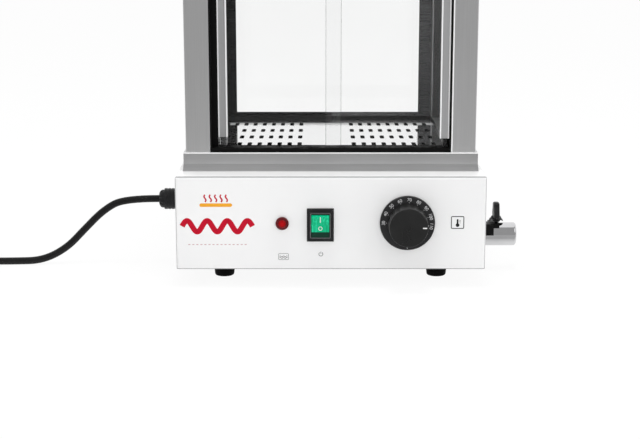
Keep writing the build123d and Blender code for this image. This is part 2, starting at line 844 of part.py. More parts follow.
def rear_frame():
    left, right = rear_window()
    bottom = collar_top + rear_bottom_rail
    top = roof_seat - rear_top_rail
    body = block(-post_inner, post_inner, rear_frame_front, post_back, collar_top, roof_seat)
    body -= block(left, right, rear_frame_front - 1, post_back + 1, bottom, top)
    return body - block(left - rear_rebate, right + rear_rebate, rear_frame_front + rear_lip, post_back + 1,
                        bottom - rear_bottom_rail / 2, top + rear_rebate)


def rear_glass():
    left, right = rear_window()
    margin = rear_rebate - running_gap
    front = rear_frame_front + rear_lip
    bottom = collar_top + rear_bottom_rail / 2
    top = roof_seat - rear_top_rail + rear_rebate - running_gap
    return block(left - margin, right + margin, front, front + glass_thickness, bottom, top)


def rear_clips():
    """Four flat clips that hold the back glass in its frame."""
    front = rear_frame_front + rear_lip + glass_thickness
    left, right = rear_window()
    half = rear_rebate / 2
    clips = [
        block(x0, x0 + half, front, post_back, z - 10, z + 10)
        for x0 in (left - rear_rebate, right + half)
        for z in (collar_top + cabinet_height / 4, collar_top + cabinet_height * 3 / 4)
    ]
    return clips[0] + clips[1] + clips[2] + clips[3]


def pane_span():
    return post_front + post_depth, post_back - post_depth


def side_glass(sign):
    outer = post_outer - side_pane_setback
    y0, y1 = pane_span()
    z0 = collar_top + channel_wall
    z1 = roof_seat - channel_wall - running_gap
    across = sorted((sign * outer, sign * (outer - glass_thickness)))
    return block(*across, y0 + running_gap, y1 - running_gap, z0, z1)


def side_channels(sign):
    """The channels below and above a side pane."""
    outer = post_outer - side_pane_setback + channel_gap
    inner = outer - glass_thickness - 2 * channel_gap
    y0, y1 = pane_span()
    across = sorted((sign * (outer + channel_wall), sign * (inner - channel_wall)))
    gap = sorted((sign * outer, sign * inner))
    lower = block(*across, y0, y1, collar_top, collar_top + channel_height)
    lower -= block(*gap, y0 - 1, y1 + 1, collar_top + channel_wall, collar_top + channel_height + 1)
    upper = block(*across, y0, y1, roof_seat - channel_height, roof_seat)
    upper -= block(*gap, y0 - 1, y1 + 1, roof_seat - channel_height - 1, roof_seat - channel_wall)
    return lower + upper


# ---------------------------------------------------------------- tray
def perforated_tray():
    body = block(-tray_half, tray_half, tray_front, tray_back, lip_top, tray_top)
    body = fillet(body.edges().filter_by(Axis.Z), base_corner)
    body -= block(-tray_half + tray_sheet, tray_half - tray_sheet, tray_front + tray_sheet,
                  tray_back - tray_sheet, lip_top - 1, tray_top - tray_sheet)
    slot = extrude(SlotOverall(slot_length, slot_width, rotation=90), 2 * tray_sheet, both=True)
    columns = []
    for sign in (-1, 1):
        for column in range(slot_columns):
            columns.append(field_offset + sign * (field_strip / 2 + column * slot_pitch_x))
    rows = [first_slot_row + row * slot_pitch_y for row in range(slot_rows)]
    return body - [Pos(x, y, tray_top) * slot for x in columns for y in rows]


# ---------------------------------------------------------------- mains lead
def cable_gland():
    body_end = -side - gland_body_length
    body = rod("X", body_end, -side, gland_radius, gland_y, gland_z)
    for number in range(gland_rings):
        x = -side - gland_body_length * (number + 1) / (gland_rings + 1)
        ring = rod("X", x - 0.8, x + 0.8, gland_radius + 1, gland_y, gland_z)
        body -= ring - rod("X", x - 2, x + 2, gland_radius - 0.7, gland_y, gland_z)
    nut = rod("X", gland_end, body_end, gland_nut_radius, gland_y, gland_z)
    nut = fillet(nut.faces().sort_by(Axis.X)[0].edges(), gland_dome)
    thread = rod("X", -side, -side + gland_thread_length, gland_thread_radius, gland_y, gland_z)
    return body + nut + thread


def gland_locknut():
    inside = -side + base_wall
    return hexagon("X", inside, inside + gland_locknut_thickness, gland_locknut_radius,
                   gland_thread_radius + pin_gap, gland_y, gland_z)


def terminal_block():
    x0 = -side + terminal_from_side - terminal_width / 2
    return block(x0, x0 + terminal_width, gland_y - terminal_length / 2, gland_y + terminal_length / 2,
                 plate_top, plate_top + terminal_height)


def supply_lead():
    """The lead inside the base, from the gland down to the terminal block."""
    x = -side + terminal_from_side
    points = [
        (-side + gland_thread_length, gland_y, gland_z), (x, gland_y, gland_z),
        (x, gland_y, plate_top + terminal_height),
    ]
    return tube(points, lead_radius, [4 * lead_radius])[0]


def coil_radius(turns):
    """The radius after so many turns: inwards for half of them, and outwards again."""
    half = coil_turns / 2
    return coil_outer_radius - coil_pitch * (half - abs(turns - half))


def coil_point(turns):
    """The coil's centre line: in along the bench, a climb, and out again on top."""
    radius = coil_radius(turns)
    climb = min(max((turns - coil_turns / 2 + 0.25) / 0.5, 0), 1)
    angle = 2 * math.pi * turns
    return Vector(coil_x - radius * math.sin(angle), coil_y - radius * math.cos(angle),
                  coil_lift + coil_pitch * climb)


def coil_direction(turns):
    step = 0.01
    if turns < step:
        return Vector(-1, 0, 0)
    if turns > coil_turns - step:
        return Vector(0, 1, 0)
    return (coil_point(turns + step) - coil_point(turns - step)).normalized()


def biarc(start, start_dir, end, end_dir):
    """Two arcs that meet smoothly, between two points with given directions."""
    chord = end - start
    both = start_dir + end_dir
    spread = 2 * (1 - start_dir.dot(end_dir))
    along = chord.dot(both)
    reach = (-along + math.sqrt(along ** 2 + spread * chord.dot(chord))) / spread
    joint = (start + end) * 0.5 + (start_dir - end_dir) * (reach / 2)
    joint_dir = (end - end_dir * reach - start - start_dir * reach).normalized()
    return [Edge.make_tangent_arc(start, start_dir, joint), Edge.make_tangent_arc(joint, joint_dir, end)]


def coil_path():
    stations = [quarter / 4 for quarter in range(round(4 * coil_turns) + 1)]
    straight = 2 * lead_radius
    first = coil_point(0)
    last = coil_point(coil_turns)
    edges = [Edge.make_line(first - coil_direction(0) * straight, first)]
    for before, after in zip(stations, stations[1:]):
        edges += biarc(coil_point(before), coil_direction(before), coil_point(after), coil_direction(after))
    edges.append(Edge.make_line(last, last + coil_direction(coil_turns) * straight))
    return Wire(edges)


def least_gap(path, diameter, step=2.0):
    """The smallest gap between two stretches of one tube that aren't neighbours along it."""
    count = int(path.length / step)
    points = [path.position_at(i * step, position_mode=PositionMode.LENGTH) for i in range(count + 1)]
    apart = int(4 * diameter / step)
    least = min(
        (points[i] - points[j]).length
        for i in range(count + 1)
        for j in range(i + apart, count + 1)
    )
    return least - diameter


def cord_coil():
    path = coil_path()
    print("coil length", round(path.length, 1), "least gap", round(least_gap(path, 2 * lead_radius), 2))
    return sweep(Plane(origin=path @ 0, z_dir=path % 0) * Circle(lead_radius), path=path)


def lead_tube(name, points):
    radii = corner_radii(points)
    solid, path = tube(points, lead_radius, radii)
    exact = math.pi * lead_radius ** 2 * path.length
    print(name, "length", round(path.length, 1), "radii", [round(r, 1) for r in radii],
          "volume over exact", round(solid.volume / exact, 4))
    return solid


def coil_tie():
    """A flat strap round the coil's bundle, at its back."""
    inner = coil_radius(2.5) - lead_radius - coil_gap
    outer = coil_radius(0.5) + lead_radius + coil_gap
    bottom = coil_lift - lead_radius - running_gap
    top = coil_top_layer + lead_radius + running_gap
    half = tie_width / 2
    thick = tie_thickness
    strap = block(coil_x - half, coil_x + half, coil_y + inner - thick, coil_y + outer + thick,
                  bottom - thick, top + thick)
    strap = fillet(strap.edges().filter_by(Axis.X), 3)
    hole = block(coil_x - half - 1, coil_x + half + 1, coil_y + inner, coil_y + outer, bottom, top)
    return strap - fillet(hole.edges().filter_by(Axis.X), 3 - thick)


def mains_plug():
    grip_end = tail_end_y + plug_grip_length
    face_end = grip_end + plug_face_length
    grip = Pos(tail_x, (tail_end_y + grip_end) / 2, plug_axis) * Rot(-90, 0, 0)
    grip *= Cone(plug_grip_radius, plug_radius * 0.72, plug_grip_length)
    face = rod("Y", grip_end, face_end, plug_radius, tail_x, plug_axis)
    face = fillet(face.edges().filter_by(GeomType.CIRCLE), 3)
    return grip + face


def plug_pins():
    start = tail_end_y + plug_grip_length + plug_face_length
    pins = []
    for sign in (-1, 1):
        pin = rod("Y", start, start + plug_pin_length, plug_pin_radius,
                  tail_x + sign * plug_pin_spacing / 2, plug_axis)
        pins.append(fillet(pin.faces().sort_by(Axis.Y)[-1].edges(), plug_pin_radius * 0.8))
    return pins[0] + pins[1]


# ---------------------------------------------------------------- all the pieces
def group(make, places):
    """Identical pieces as separate solids in one node."""
    return Compound(children=[make(x, y) for x, y in places])


pieces = {
    "base_casing": base_casing(),
    "base_plate": base_plate(),
    "foot_screws": group(foot_screw, feet.values()),
    "base_plate_screws": group(plate_screw, plate_screws),
    "water_tank": water_tank(),
    "heating_element": heating_element(),
    "element_nuts": element_nuts(),
    "sensor_bulb": sensor_bulb(),
    "dry_boil_cutout": dry_boil_cutout(),
    "lamp_body": lamp_body(),
    "lamp_lens": lamp_lens(),
    "rocker_housing": rocker_housing(),
    "rocker_button": rocker_button(),
    "dial_ring": dial_ring(),
    "control_knob": control_knob(),
    "thermostat_shaft": thermostat_shaft(),
    "thermostat_body": thermostat_body(),
    "valve_body": valve_body(),
    "valve_ball": valve_ball(),
    "valve_stem": valve_stem(),
    "drain_lever": drain_lever(),
    "valve_stop": valve_stop(),
    "valve_locknut": valve_locknut(),
    "drain_hose": drain_hose(),
    "lower_collar": lower_collar(),
    "roof": roof(),
    "roof_screws": group(roof_screw, posts.values()),
    "lower_door_track": lower_door_track(),
    "upper_door_track": upper_door_track(),
    "left_door_jamb": door_jamb(-1),
    "right_door_jamb": door_jamb(1),
    "left_door_glass": door_glass(-1),
    "right_door_glass": door_glass(1),
    "left_door_pull": door_pull(-1),
    "right_door_pull": door_pull(1),
    "rear_frame": rear_frame(),
    "rear_glass": rear_glass(),
    "rear_clips": rear_clips(),
    "left_side_glass": side_glass(-1),
    "right_side_glass": side_glass(1),
    "side_channels": Compound(children=[side_channels(-1), side_channels(1)]),
    "perforated_tray": perforated_tray(),
    "cable_gland": cable_gland(),
    "gland_locknut": gland_locknut(),
    "terminal_block": terminal_block(),
    "supply_lead": supply_lead(),
    "mains_lead": lead_tube("mains_lead", lead_route),
    "cord_coil": cord_coil(),
    "cord_tail": lead_tube("cord_tail", tail_route),
    "coil_tie": coil_tie(),
    "mains_plug": mains_plug(),
    "plug_pins": plug_pins(),
}
for place_name, (foot_x, foot_y) in feet.items():
    pieces[f"foot_{place_name}"] = foot(foot_x, foot_y)
for place_name, (post_x, post_y) in posts.items():
    pieces[f"post_{place_name}"] = post(post_x, post_y)

os.makedirs("parts", exist_ok=True)
for piece_name, piece in pieces.items():
    export_step(Pos(-origin_x, -origin_y, 0) * piece, f"parts/{piece_name}.step")
print(len(pieces), "pieces; origin at", origin_x, origin_y, "from the base's centre line and front panel")
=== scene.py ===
"""Looks of the hot dog steamer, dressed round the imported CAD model.

Sizes and places are in mm, from the base's centre line, its front panel and the bench. MM and at() turn them
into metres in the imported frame. A look's noise scales, bump distances and small limits are in metres.
"""
import math

import bmesh
import bpy
from mathutils import Matrix, Vector


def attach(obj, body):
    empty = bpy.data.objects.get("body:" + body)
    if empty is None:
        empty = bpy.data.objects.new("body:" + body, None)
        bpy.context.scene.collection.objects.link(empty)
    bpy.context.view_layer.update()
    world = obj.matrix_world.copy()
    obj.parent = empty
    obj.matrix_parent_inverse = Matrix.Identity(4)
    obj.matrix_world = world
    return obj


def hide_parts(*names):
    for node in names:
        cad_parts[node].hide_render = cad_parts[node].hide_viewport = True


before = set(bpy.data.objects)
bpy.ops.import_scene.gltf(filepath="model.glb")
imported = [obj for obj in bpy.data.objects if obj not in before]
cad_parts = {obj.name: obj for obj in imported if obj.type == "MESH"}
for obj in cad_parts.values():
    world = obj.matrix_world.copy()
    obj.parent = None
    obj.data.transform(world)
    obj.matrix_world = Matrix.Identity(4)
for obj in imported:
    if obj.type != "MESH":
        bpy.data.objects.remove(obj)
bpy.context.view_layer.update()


MM = 0.001
ORIGIN_X = 23.5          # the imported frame's origin, from the base's centre line
ORIGIN_Y = 180.75        # and from the front panel

# Places on the CAD model that the looks and the pieces go by
BASE_HALF_WIDTH = 180.8
BASE_BOTTOM = 22.0
BASE_TOP = 132.0
COLLAR_FRONT = 37.0      # just behind the bend at the top of the collar's front
COLLAR_TOP = 154.0
HEM_HALF_WIDTH = 141.8   # the hem inside the collar, which the tray rests in
HEM_FRONT = 60.0
HEM_BACK = 349.0
POST_INNER = 141.4
FAR_SLOTS = (281, 303)
PULL_GROOVES = (41.45, 51.95)
LAMP_X = -56.6
LAMP_Z = 76.7
ROCKER_X = -12.2
ROCKER_Z = 74.8
DIAL_X = 89.0
DIAL_Z = 77.4
DIAL_FACE = 4.0


def at(x, y, z):
    """A place in mm from the base's centre line, front panel and bench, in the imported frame."""
    return Vector(((x - ORIGIN_X) * MM, (y - ORIGIN_Y) * MM, z * MM))


# ---------------------------------------------------------------- camera
CAMERA_PLACE = (-0.0361, -1.77665, 0.4269)
CAMERA_DOWN = 12.22      # degrees
LENS = 79.03
SENSOR_WIDTH = 36

camera = bpy.data.objects.new("camera", bpy.data.cameras.new("camera"))
camera.data.lens = LENS
camera.data.sensor_width = SENSOR_WIDTH
camera.location = CAMERA_PLACE
camera.rotation_euler = (math.radians(90 - CAMERA_DOWN), 0, 0)
bpy.context.scene.collection.objects.link(camera)
bpy.context.scene.camera = camera
bpy.context.scene.view_settings.view_transform = "Standard"


# ---------------------------------------------------------------- mains lead
LEAD_RADIUS = 4.5
COIL_X = -497
COIL_Y = 169
COIL_RADIUS = 62
COIL_PITCH = 9.6
COIL_LIFT = 6
COIL_TURNS = 4.25
COIL_STEPS = 16          # points in each turn

lead_points = [
    (-212.6, 120, 82), (-256.6, 120, 82), (-282.6, 121, 67.5), (-306.6, 121, 43.5), (-329.6, 118, 19.5),
    (-359.6, 113, 4.6), (-394.6, 109, 4.6), (-431.6, 107, 5), (-488, 107, 6),
]
tail_points = [(-559, 178, 15.6), (-559, 205, 15.6), (-559, 232, 18.8), (-559, 259, 18.8)]


def coil_point(turns):
    """In along the bench, a climb, and out again on top."""
    half = COIL_TURNS / 2
    radius = COIL_RADIUS - COIL_PITCH * (half - abs(turns - half))
    climb = min(max((turns - half + 0.25) / 0.5, 0), 1)
    angle = 2 * math.pi * turns
    return (COIL_X - radius * math.sin(angle), COIL_Y - radius * math.cos(angle),
            COIL_LIFT + COIL_PITCH * climb)


def lead_line():
    turns = [coil_point(step / COIL_STEPS) for step in range(round(COIL_TURNS * COIL_STEPS) + 1)]
    curve = bpy.data.curves.new("mains_lead_line", "CURVE")
    curve.dimensions = "3D"
    curve.resolution_u = 8
    curve.bevel_depth = LEAD_RADIUS * MM
    curve.bevel_resolution = 6
    curve.use_fill_caps = True
    spline = curve.splines.new("NURBS")
    points = lead_points + turns + tail_points
    spline.points.add(len(points) - 1)
    for point, place in zip(spline.points, points):
        point.co = (*at(*place), 1)
    spline.order_u = 3
    spline.use_endpoint_u = True
    cord = bpy.data.objects.new("mains_lead_cord", curve)
    bpy.context.scene.collection.objects.link(cord)
    return cord


# ---------------------------------------------------------------- materials
class Nodes:
    """A node tree, with short calls that add its nodes and link them."""

    def __init__(self, tree, place):
        self.tree = tree
        self.place = self.add("ShaderNodeTexCoord").outputs[place]

    def add(self, kind, **settings):
        node = self.tree.nodes.new(kind)
        for name, value in settings.items():
            setattr(node, name, value)
        return node

    def feed(self, socket, value):
        """Links an output, or sets a number."""
        if isinstance(value, bpy.types.NodeSocket):
            self.tree.links.new(value, socket)
        else:
            socket.default_value = value

    def math(self, operation, *values):
        node = self.add("ShaderNodeMath", operation=operation)
        for socket, value in zip(node.inputs, values):
            self.feed(socket, value)
        return node.outputs[0]

    def plus(self, first, second):
        return self.math("ADD", first, second)

    def minus(self, first, second):
        return self.math("SUBTRACT", first, second)

    def times(self, first, second):
        return self.math("MULTIPLY", first, second)

    def less(self, value, limit):
        return self.math("LESS_THAN", value, limit)

    def more(self, value, limit):
        return self.math("GREATER_THAN", value, limit)

    def size(self, value):
        return self.math("ABSOLUTE", value)

    def axis(self, name, vector=None):
        node = self.add("ShaderNodeSeparateXYZ")
        self.feed(node.inputs[0], self.place if vector is None else vector)
        return node.outputs[name]

    def spread(self, value, low, high, start=0.3, end=0.7):
        """A value between start and end, stretched to run from low to high."""
        node = self.add("ShaderNodeMapRange")
        for socket, number in zip(node.inputs, (value, start, end, low, high)):
            self.feed(socket, number)
        return node.outputs[0]

    def rays(self):
        """Two shares: rays that come from the camera, also through glass, and rays that a surface mirrors."""
        path = self.add("ShaderNodeLightPath").outputs
        straight = self.plus(path["Is Camera Ray"], path["Is Transmission Ray"])
        mirrored = self.times(path["Is Glossy Ray"], self.minus(1, straight))
        return straight, mirrored


class Look(Nodes):
    """A material: a Principled shader, and the nodes that feed it."""

    def __init__(self, name, **sockets):
        self.material = bpy.data.materials.new(name)
        self.material.use_nodes = True
        super().__init__(self.material.node_tree, "Object")
        self.shader = self.tree.nodes["Principled BSDF"]
        for socket, value in sockets.items():
            self.shader.inputs[socket.replace("_", " ")].default_value = value

    def stretched(self, scale):
        """Object coordinates times a scale for each axis."""
        node = self.add("ShaderNodeVectorMath", operation="MULTIPLY")
        self.feed(node.inputs[0], self.place)
        node.inputs[1].default_value = scale
        return node.outputs[0]

    def normal(self, name):
        return self.axis(name, self.add("ShaderNodeNewGeometry").outputs["Normal"])

    def noise(self, scale, detail=2.0, roughness=0.5):
        node = self.add("ShaderNodeTexNoise")
        self.feed(node.inputs["Vector"], self.stretched(scale))
        node.inputs["Scale"].default_value = 1
        node.inputs["Detail"].default_value = detail
        node.inputs["Roughness"].default_value = roughness
        return node.outputs["Fac"]

    def colours(self, value, *stops):
        node = self.add("ShaderNodeValToRGB")
        ramp = node.color_ramp
        while len(ramp.elements) < len(stops):
            ramp.elements.new(0.5)
        for element, (place, colour) in zip(ramp.elements, stops):
            element.position = place
            element.color = (*colour, 1)
        self.feed(node.inputs[0], value)
        return node.outputs[0]

    def mix(self, share, first, second):
        node = self.add("ShaderNodeMix", data_type="RGBA")
        self.feed(node.inputs[0], share)
        self.feed(node.inputs[6], first)
        self.feed(node.inputs[7], second)
        return node.outputs[2]

    def bump(self, height, strength, distance, edge=0.0):
        """Bump from a height, with edges rounded by a radius in mm."""
        node = self.add("ShaderNodeBump")
        node.inputs["Strength"].default_value = strength
        node.inputs["Distance"].default_value = distance
        self.feed(node.inputs["Height"], height)
        if edge:
            bevel = self.add("ShaderNodeBevel", samples=4)
            bevel.inputs["Radius"].default_value = edge * MM
            self.feed(node.inputs["Normal"], bevel.outputs[0])
        self.feed(self.shader.inputs["Normal"], node.outputs[0])

    def colour(self, value):
        self.feed(self.shader.inputs["Base Color"], value)

    def rough(self, value):
        self.feed(self.shader.inputs["Roughness"], value)

    def blend_surface(self, share, other):
        """Gives a share of the surface to another shader."""
        both = self.add("ShaderNodeMixShader")
        self.feed(both.inputs[0], share)
        self.feed(both.inputs[1], self.shader.outputs[0])
        self.feed(both.inputs[2], other.outputs[0])
        self.feed(self.tree.nodes["Material Output"].inputs["Surface"], both.outputs[0])


def shade(colour, factor):
    return tuple(channel * factor for channel in colour)


def painted_steel():
    """White powder coat, with painted shade as fine grey lines along the front panel's edges and its bend
    into the shelf, and painted light on the shelf.
    """
    side_line = 1.2
    edge_line = 0.9
    look = Look("white_paint", Coat_Weight=0.25, Coat_Roughness=0.12, IOR=1.5)
    panel = look.colours(look.noise((9, 9, 9), 3), (0.3, (0.85, 0.85, 0.855)), (0.7, (0.89, 0.89, 0.89)))
    # Painted light: faces that look up, the shelf, get a lighter white than the front panel.
    paint_and_shelf_light = look.mix(look.more(look.normal("Z"), 0.7), panel, (0.94, 0.94, 0.94, 1))
    # Painted shade: grey lines along the front panel's side and bottom edges and along its bend into the
    # shelf, standing for the shade of the rounded edges.
    across = look.size(look.plus(look.axis("X"), ORIGIN_X * MM))
    side = look.more(across, (BASE_HALF_WIDTH - side_line) * MM)
    bottom = look.less(look.axis("Z"), (BASE_BOTTOM + edge_line) * MM)
    edges = look.times(look.math("MAXIMUM", side, bottom), look.less(look.normal("Y"), -0.5))
    bend_shade = look.math("COMPARE", look.axis("Z"), (BASE_TOP - edge_line) * MM, 0.0008)
    bend_shade = look.times(bend_shade, look.less(look.normal("Y"), -0.1))
    look.colour(look.mix(look.math("MAXIMUM", edges, bend_shade), paint_and_shelf_light, (0.40, 0.40, 0.405, 1)))
    look.rough(look.spread(look.noise((60, 60, 60), 3), 0.30, 0.42))
    look.bump(look.noise((650, 650, 650), 1.5), 0.05, 0.0004, edge=0.5)
    return look.material


def brushing(look, grain):
    """The lines of the brushing along an axis, or, where grain is 'round', along X or Y by the face."""
    fine = 1500
    long = 14
    scales = {"X": (long, fine, fine), "Y": (fine, long, fine), "Z": (fine, fine, long)}
    if grain != "round":
        return look.noise(scales[grain], 3, 0.6)
    along_x = look.noise(scales["X"], 3, 0.6)
    along_y = look.noise(scales["Y"], 3, 0.6)
    sideways = look.more(look.size(look.normal("X")), 0.7)
    return look.plus(along_x, look.times(look.minus(along_y, along_x), sideways))


def brushed(name, colour, rough, grain, spread=0.05, depth=0.03, edge=0.4, painted_shade=None, lit=None, shade_share=0.11):
    """Brushed sheet.

    The shade mask gives where shade is painted, darkening the colour by its share, on the cabinet's inside or
    at cut edges;
    lit(look) gives where a highlight is painted, white and not metallic, as a bright edge.
    """
    look = Look(name, Metallic=1.0)
    lines = brushing(look, grain)
    tone = look.plus(look.times(lines, 0.6), look.times(look.noise((14, 14, 9), 3), 0.4))
    clean = look.colours(tone, (0.35, shade(colour, 0.955)), (0.65, shade(colour, 1.04)))
    # Painted shade: where the mask says, the colour is darkened by its share.
    if painted_shade:
        shaded_colour = look.colours(tone, (0.35, shade(colour, 0.8 * shade_share)), (0.65, shade(colour, 1.2 * shade_share)))
        clean = look.mix(painted_shade(look), clean, shaded_colour)
    # Painted highlight: where lit says, the colour is white and not metallic.
    if lit:
        clean = look.mix(lit(look), clean, (0.97, 0.97, 0.97, 1))
        look.feed(look.shader.inputs["Metallic"], look.minus(1, lit(look)))
    look.colour(clean)
    look.rough(look.spread(tone, rough - spread, rough + spread))
    look.bump(lines, depth, 0.0002, edge=edge)
    return look.material


def within(look, name, low, high):
    """Between two places along an axis, in mm."""
    start, end = (getattr(at(place, place, place), name.lower()) for place in (low, high))
    value = look.axis(name)
    return look.times(look.more(value, start), look.less(value, end))


def faces_doors(look):
    """The side of the rear posts that faces the doors, where shade is painted."""
    return look.less(look.normal("Y"), -0.6)


def collar_inside(look):
    """The hem that the tray rests in, where shade is painted."""
    across = within(look, "X", -HEM_HALF_WIDTH, HEM_HALF_WIDTH)
    return look.times(across, within(look, "Y", HEM_FRONT, HEM_BACK))


def collar_rim(look):
    """The bend at the top of the collar's front, where a highlight is painted."""
    front = look.less(look.axis("Y"), at(0, COLLAR_FRONT, 0).y)
    return look.times(front, look.more(look.axis("Z"), (COLLAR_TOP - 1.0) * MM))


def jamb_side(look):
    """The right front post's inner edge, where a highlight is painted."""
    front = look.less(look.normal("Y"), -0.6)
    return look.times(front, look.less(look.axis("X"), at(POST_INNER + 1.8, 0, 0).x))


def left_half(look):
    # The left half of the rear frame, where darker shade is painted.
    return look.less(look.axis("X"), at(4, 0, 0).x)


def cut_edges(look):
    """The walls of the slots, where shade is painted."""
    return look.less(look.size(look.normal("Z")), 0.5)


def far_slots(look):
    """The part of the tray round the slots furthest back, where a highlight is painted."""
    return look.times(within(look, "Y", *FAR_SLOTS), look.more(look.normal("Z"), 0.8))


def polished(name, colour, rough):
    look = Look(name, Metallic=1.0)
    smear = look.noise((35, 35, 35), 4)
    look.colour(look.colours(smear, (0.3, shade(colour, 0.93)), (0.7, shade(colour, 1.03))))
    look.rough(look.spread(smear, rough * 0.6, rough * 1.7))
    look.bump(look.noise((220, 220, 220), 2), 0.02, 0.0002, edge=0.3)
    return look.material


def moulded(name, colour, rough, grain=1600, depth=0.12, coat=0.0, specular=0.2):
    """Moulded plastic or rubber: a fine grain, rubbed smoother in places."""
    look = Look(name, Coat_Weight=coat, Coat_Roughness=0.1, Specular_IOR_Level=specular)
    rubbed = look.noise((45, 45, 45), 3)
    look.colour(look.colours(rubbed, (0.3, shade(colour, 0.8)), (0.7, shade(colour, 1.25))))
    look.rough(look.spread(rubbed, rough - 0.08, rough + 0.08))
    look.bump(look.noise((grain, grain, grain), 2), depth, 0.0002, edge=0.25)
    return look.material


def pull_profile():
    """Anodised channel: bright rims, and a finger groove between them whose floor is painted grey as painted
    shade.
    """
    look = Look("anodised_pull")
    front = look.less(look.normal("Y"), -0.7)
    across = look.axis("Y")
    grooves = [look.less(look.size(look.minus(across, at(0, y, 0).y)), 0.0006) for y in PULL_GROOVES]
    lines = look.noise((1500, 1500, 12), 3, 0.6)
    rim = look.colours(lines, (0.3, (0.93, 0.93, 0.935)), (0.7, (0.98, 0.98, 0.98)))
    floor = look.colours(lines, (0.3, (0.30, 0.30, 0.305)), (0.7, (0.35, 0.35, 0.355)))
    # Painted shade: the floor of the groove is painted grey.
    look.colour(look.mix(look.times(look.plus(*grooves), front), rim, floor))
    look.rough(look.spread(lines, 0.3, 0.42))
    look.bump(lines, 0.04, 0.0002, edge=0.25)
    return look.material


def clear_glass(name, thin_axis, node=None):
    """Float glass, dark green at its ground edges, with painted shade as grey lines along the upright edges
    of a door's pane.
    """
    look = Look(name, Transmission_Weight=1.0, IOR=1.24)
    edge = look.less(look.size(look.normal(thin_axis)), 0.5)
    smear = look.noise((12, 12, 12), 3)
    clean = look.colours(smear, (0.3, (0.962, 0.964, 0.963)), (0.7, (0.974, 0.976, 0.975)))
    if node:
        across = [corner[0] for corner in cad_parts[node].bound_box]
        # Painted shade: grey lines along the pane's upright edges.
        painted_edge_lines = [look.math("COMPARE", look.axis("X"), end, 0.0007) for end in (min(across), max(across))]
        clean = look.mix(look.plus(*painted_edge_lines), clean, (0.42, 0.44, 0.43, 1))
    look.colour(look.mix(edge, clean, (0.16, 0.24, 0.22, 1)))
    look.rough(look.times(edge, 0.35))
    clear = look.add("ShaderNodeBsdfTransparent")
    clear.inputs["Color"].default_value = (0.9, 0.92, 0.91, 1)
    look.blend_surface(look.add("ShaderNodeLightPath").outputs["Is Shadow Ray"], clear)
    return look.material


def lamp_red():
    """The lamp's lens, with a painted highlight: brighter in the middle."""
    lens_radius = 0.0056
    look = Look("signal_red", Coat_Weight=0.12, Coat_Roughness=0.05, Specular_IOR_Level=0.1)
    across = look.size(look.minus(look.axis("X"), at(LAMP_X, 0, 0).x))
    up = look.size(look.minus(look.axis("Z"), LAMP_Z * MM))
    radius = look.math("SQRT", look.plus(look.math("POWER", across, 2), look.math("POWER", up, 2)))
    # Painted highlight: the colour is lighter towards the middle of the lens.
    glow = look.plus(radius, look.times(look.noise((700, 700, 700)), 0.0006))
    look.colour(look.colours(look.math("DIVIDE", glow, lens_radius),
                             (0.25, (0.42, 0.001, 0.004)), (0.75, (0.26, 0.001, 0.003)),
                             (1.0, (0.09, 0.001, 0.002))))
    look.rough(look.spread(look.noise((90, 90, 90)), 0.1, 0.2))
    look.bump(look.noise((900, 900, 900), 1), 0.06, 0.0003, edge=0.3)
    return look.material


def rocker_green():
    """Green translucent plastic with a painted glow: upright streaks, painted lighter as painted highlights,
    and painted shade at its lower end.
    """
    shaded_end = 7.4           # below the switch's middle
    # The emission gives the plastic a painted glow.
    look = Look("rocker_green", Coat_Weight=0.15, Coat_Roughness=0.08, Specular_IOR_Level=0.12,
                Emission_Strength=0.22)
    # Painted highlight: the upright streaks are painted lighter; they also set the roughness and bump.
    streaks = look.noise((650, 650, 18), 2, 0.55)
    green = look.colours(streaks, (0.3, (0.002, 0.28, 0.12)), (0.55, (0.004, 0.42, 0.20)),
                         (0.75, (0.03, 0.58, 0.33)))
    # Painted shade: the lower end of the switch is darkened.
    lower = look.less(look.axis("Z"), (ROCKER_Z - shaded_end) * MM)
    green = look.mix(lower, green, (0.004, 0.03, 0.018, 1))
    look.colour(green)
    look.feed(look.shader.inputs["Emission Color"], green)
    look.rough(look.spread(streaks, 0.14, 0.26))
    look.bump(streaks, 0.05, 0.0002, edge=0.3)
    return look.material


def printed(name, colour):
    """Screen-printed ink, with a slight unevenness."""
    look = Look(name, Specular_IOR_Level=0.12)
    cover = look.noise((900, 900, 900), 2)
    look.colour(look.colours(cover, (0.3, shade(colour, 0.93)), (0.7, shade(colour, 1.05))))
    look.rough(look.spread(cover, 0.40, 0.50))
    look.bump(look.noise((1800, 1800, 1800), 1), 0.04, 0.0001)
    return look.material


post_steel = brushed("post_steel", (0.74, 0.74, 0.742), 0.34, "Z")
# Painted highlight along the right front post's inner edge.
right_post_steel = brushed("right_post_steel", (0.74, 0.74, 0.742), 0.34, "Z", lit=jamb_side)
# Painted shade on the side of the rear posts that faces the doors.
rear_post_steel = brushed("rear_post_steel", (0.72, 0.72, 0.725), 0.34, "Z", painted_shade=faces_doors)
sheet_steel = brushed("sheet_steel", (0.74, 0.74, 0.745), 0.34, "round")
# Painted shade on the hem inside the collar, and a painted highlight, white and not metallic, along the bend
# at the top of its front.
collar_steel = brushed("collar_steel", (0.60, 0.60, 0.604), 0.34, "round", edge=0.9, painted_shade=collar_inside,
                       lit=collar_rim, shade_share=0.03)
# Steel darkened to near black as painted shade, for the base plate.
inner_steel = brushed("inner_steel", (0.022, 0.022, 0.023), 0.26, "round")
# Dark steel as painted shade for the rear frame, painted darker still on its left half.
shaded_rear_steel = brushed("shaded_rear_steel", (0.10, 0.10, 0.102), 0.26, "round", painted_shade=left_half, shade_share=0.1)
# Painted shade in the walls of the slots, and a painted highlight, white and not metallic, round the slots
# furthest back.
tray_steel = brushed("tray_steel", (0.88, 0.88, 0.885), 0.10, "X", spread=0.03, depth=0.015, edge=0.1,
                     painted_shade=cut_edges, lit=far_slots, shade_share=0.012)
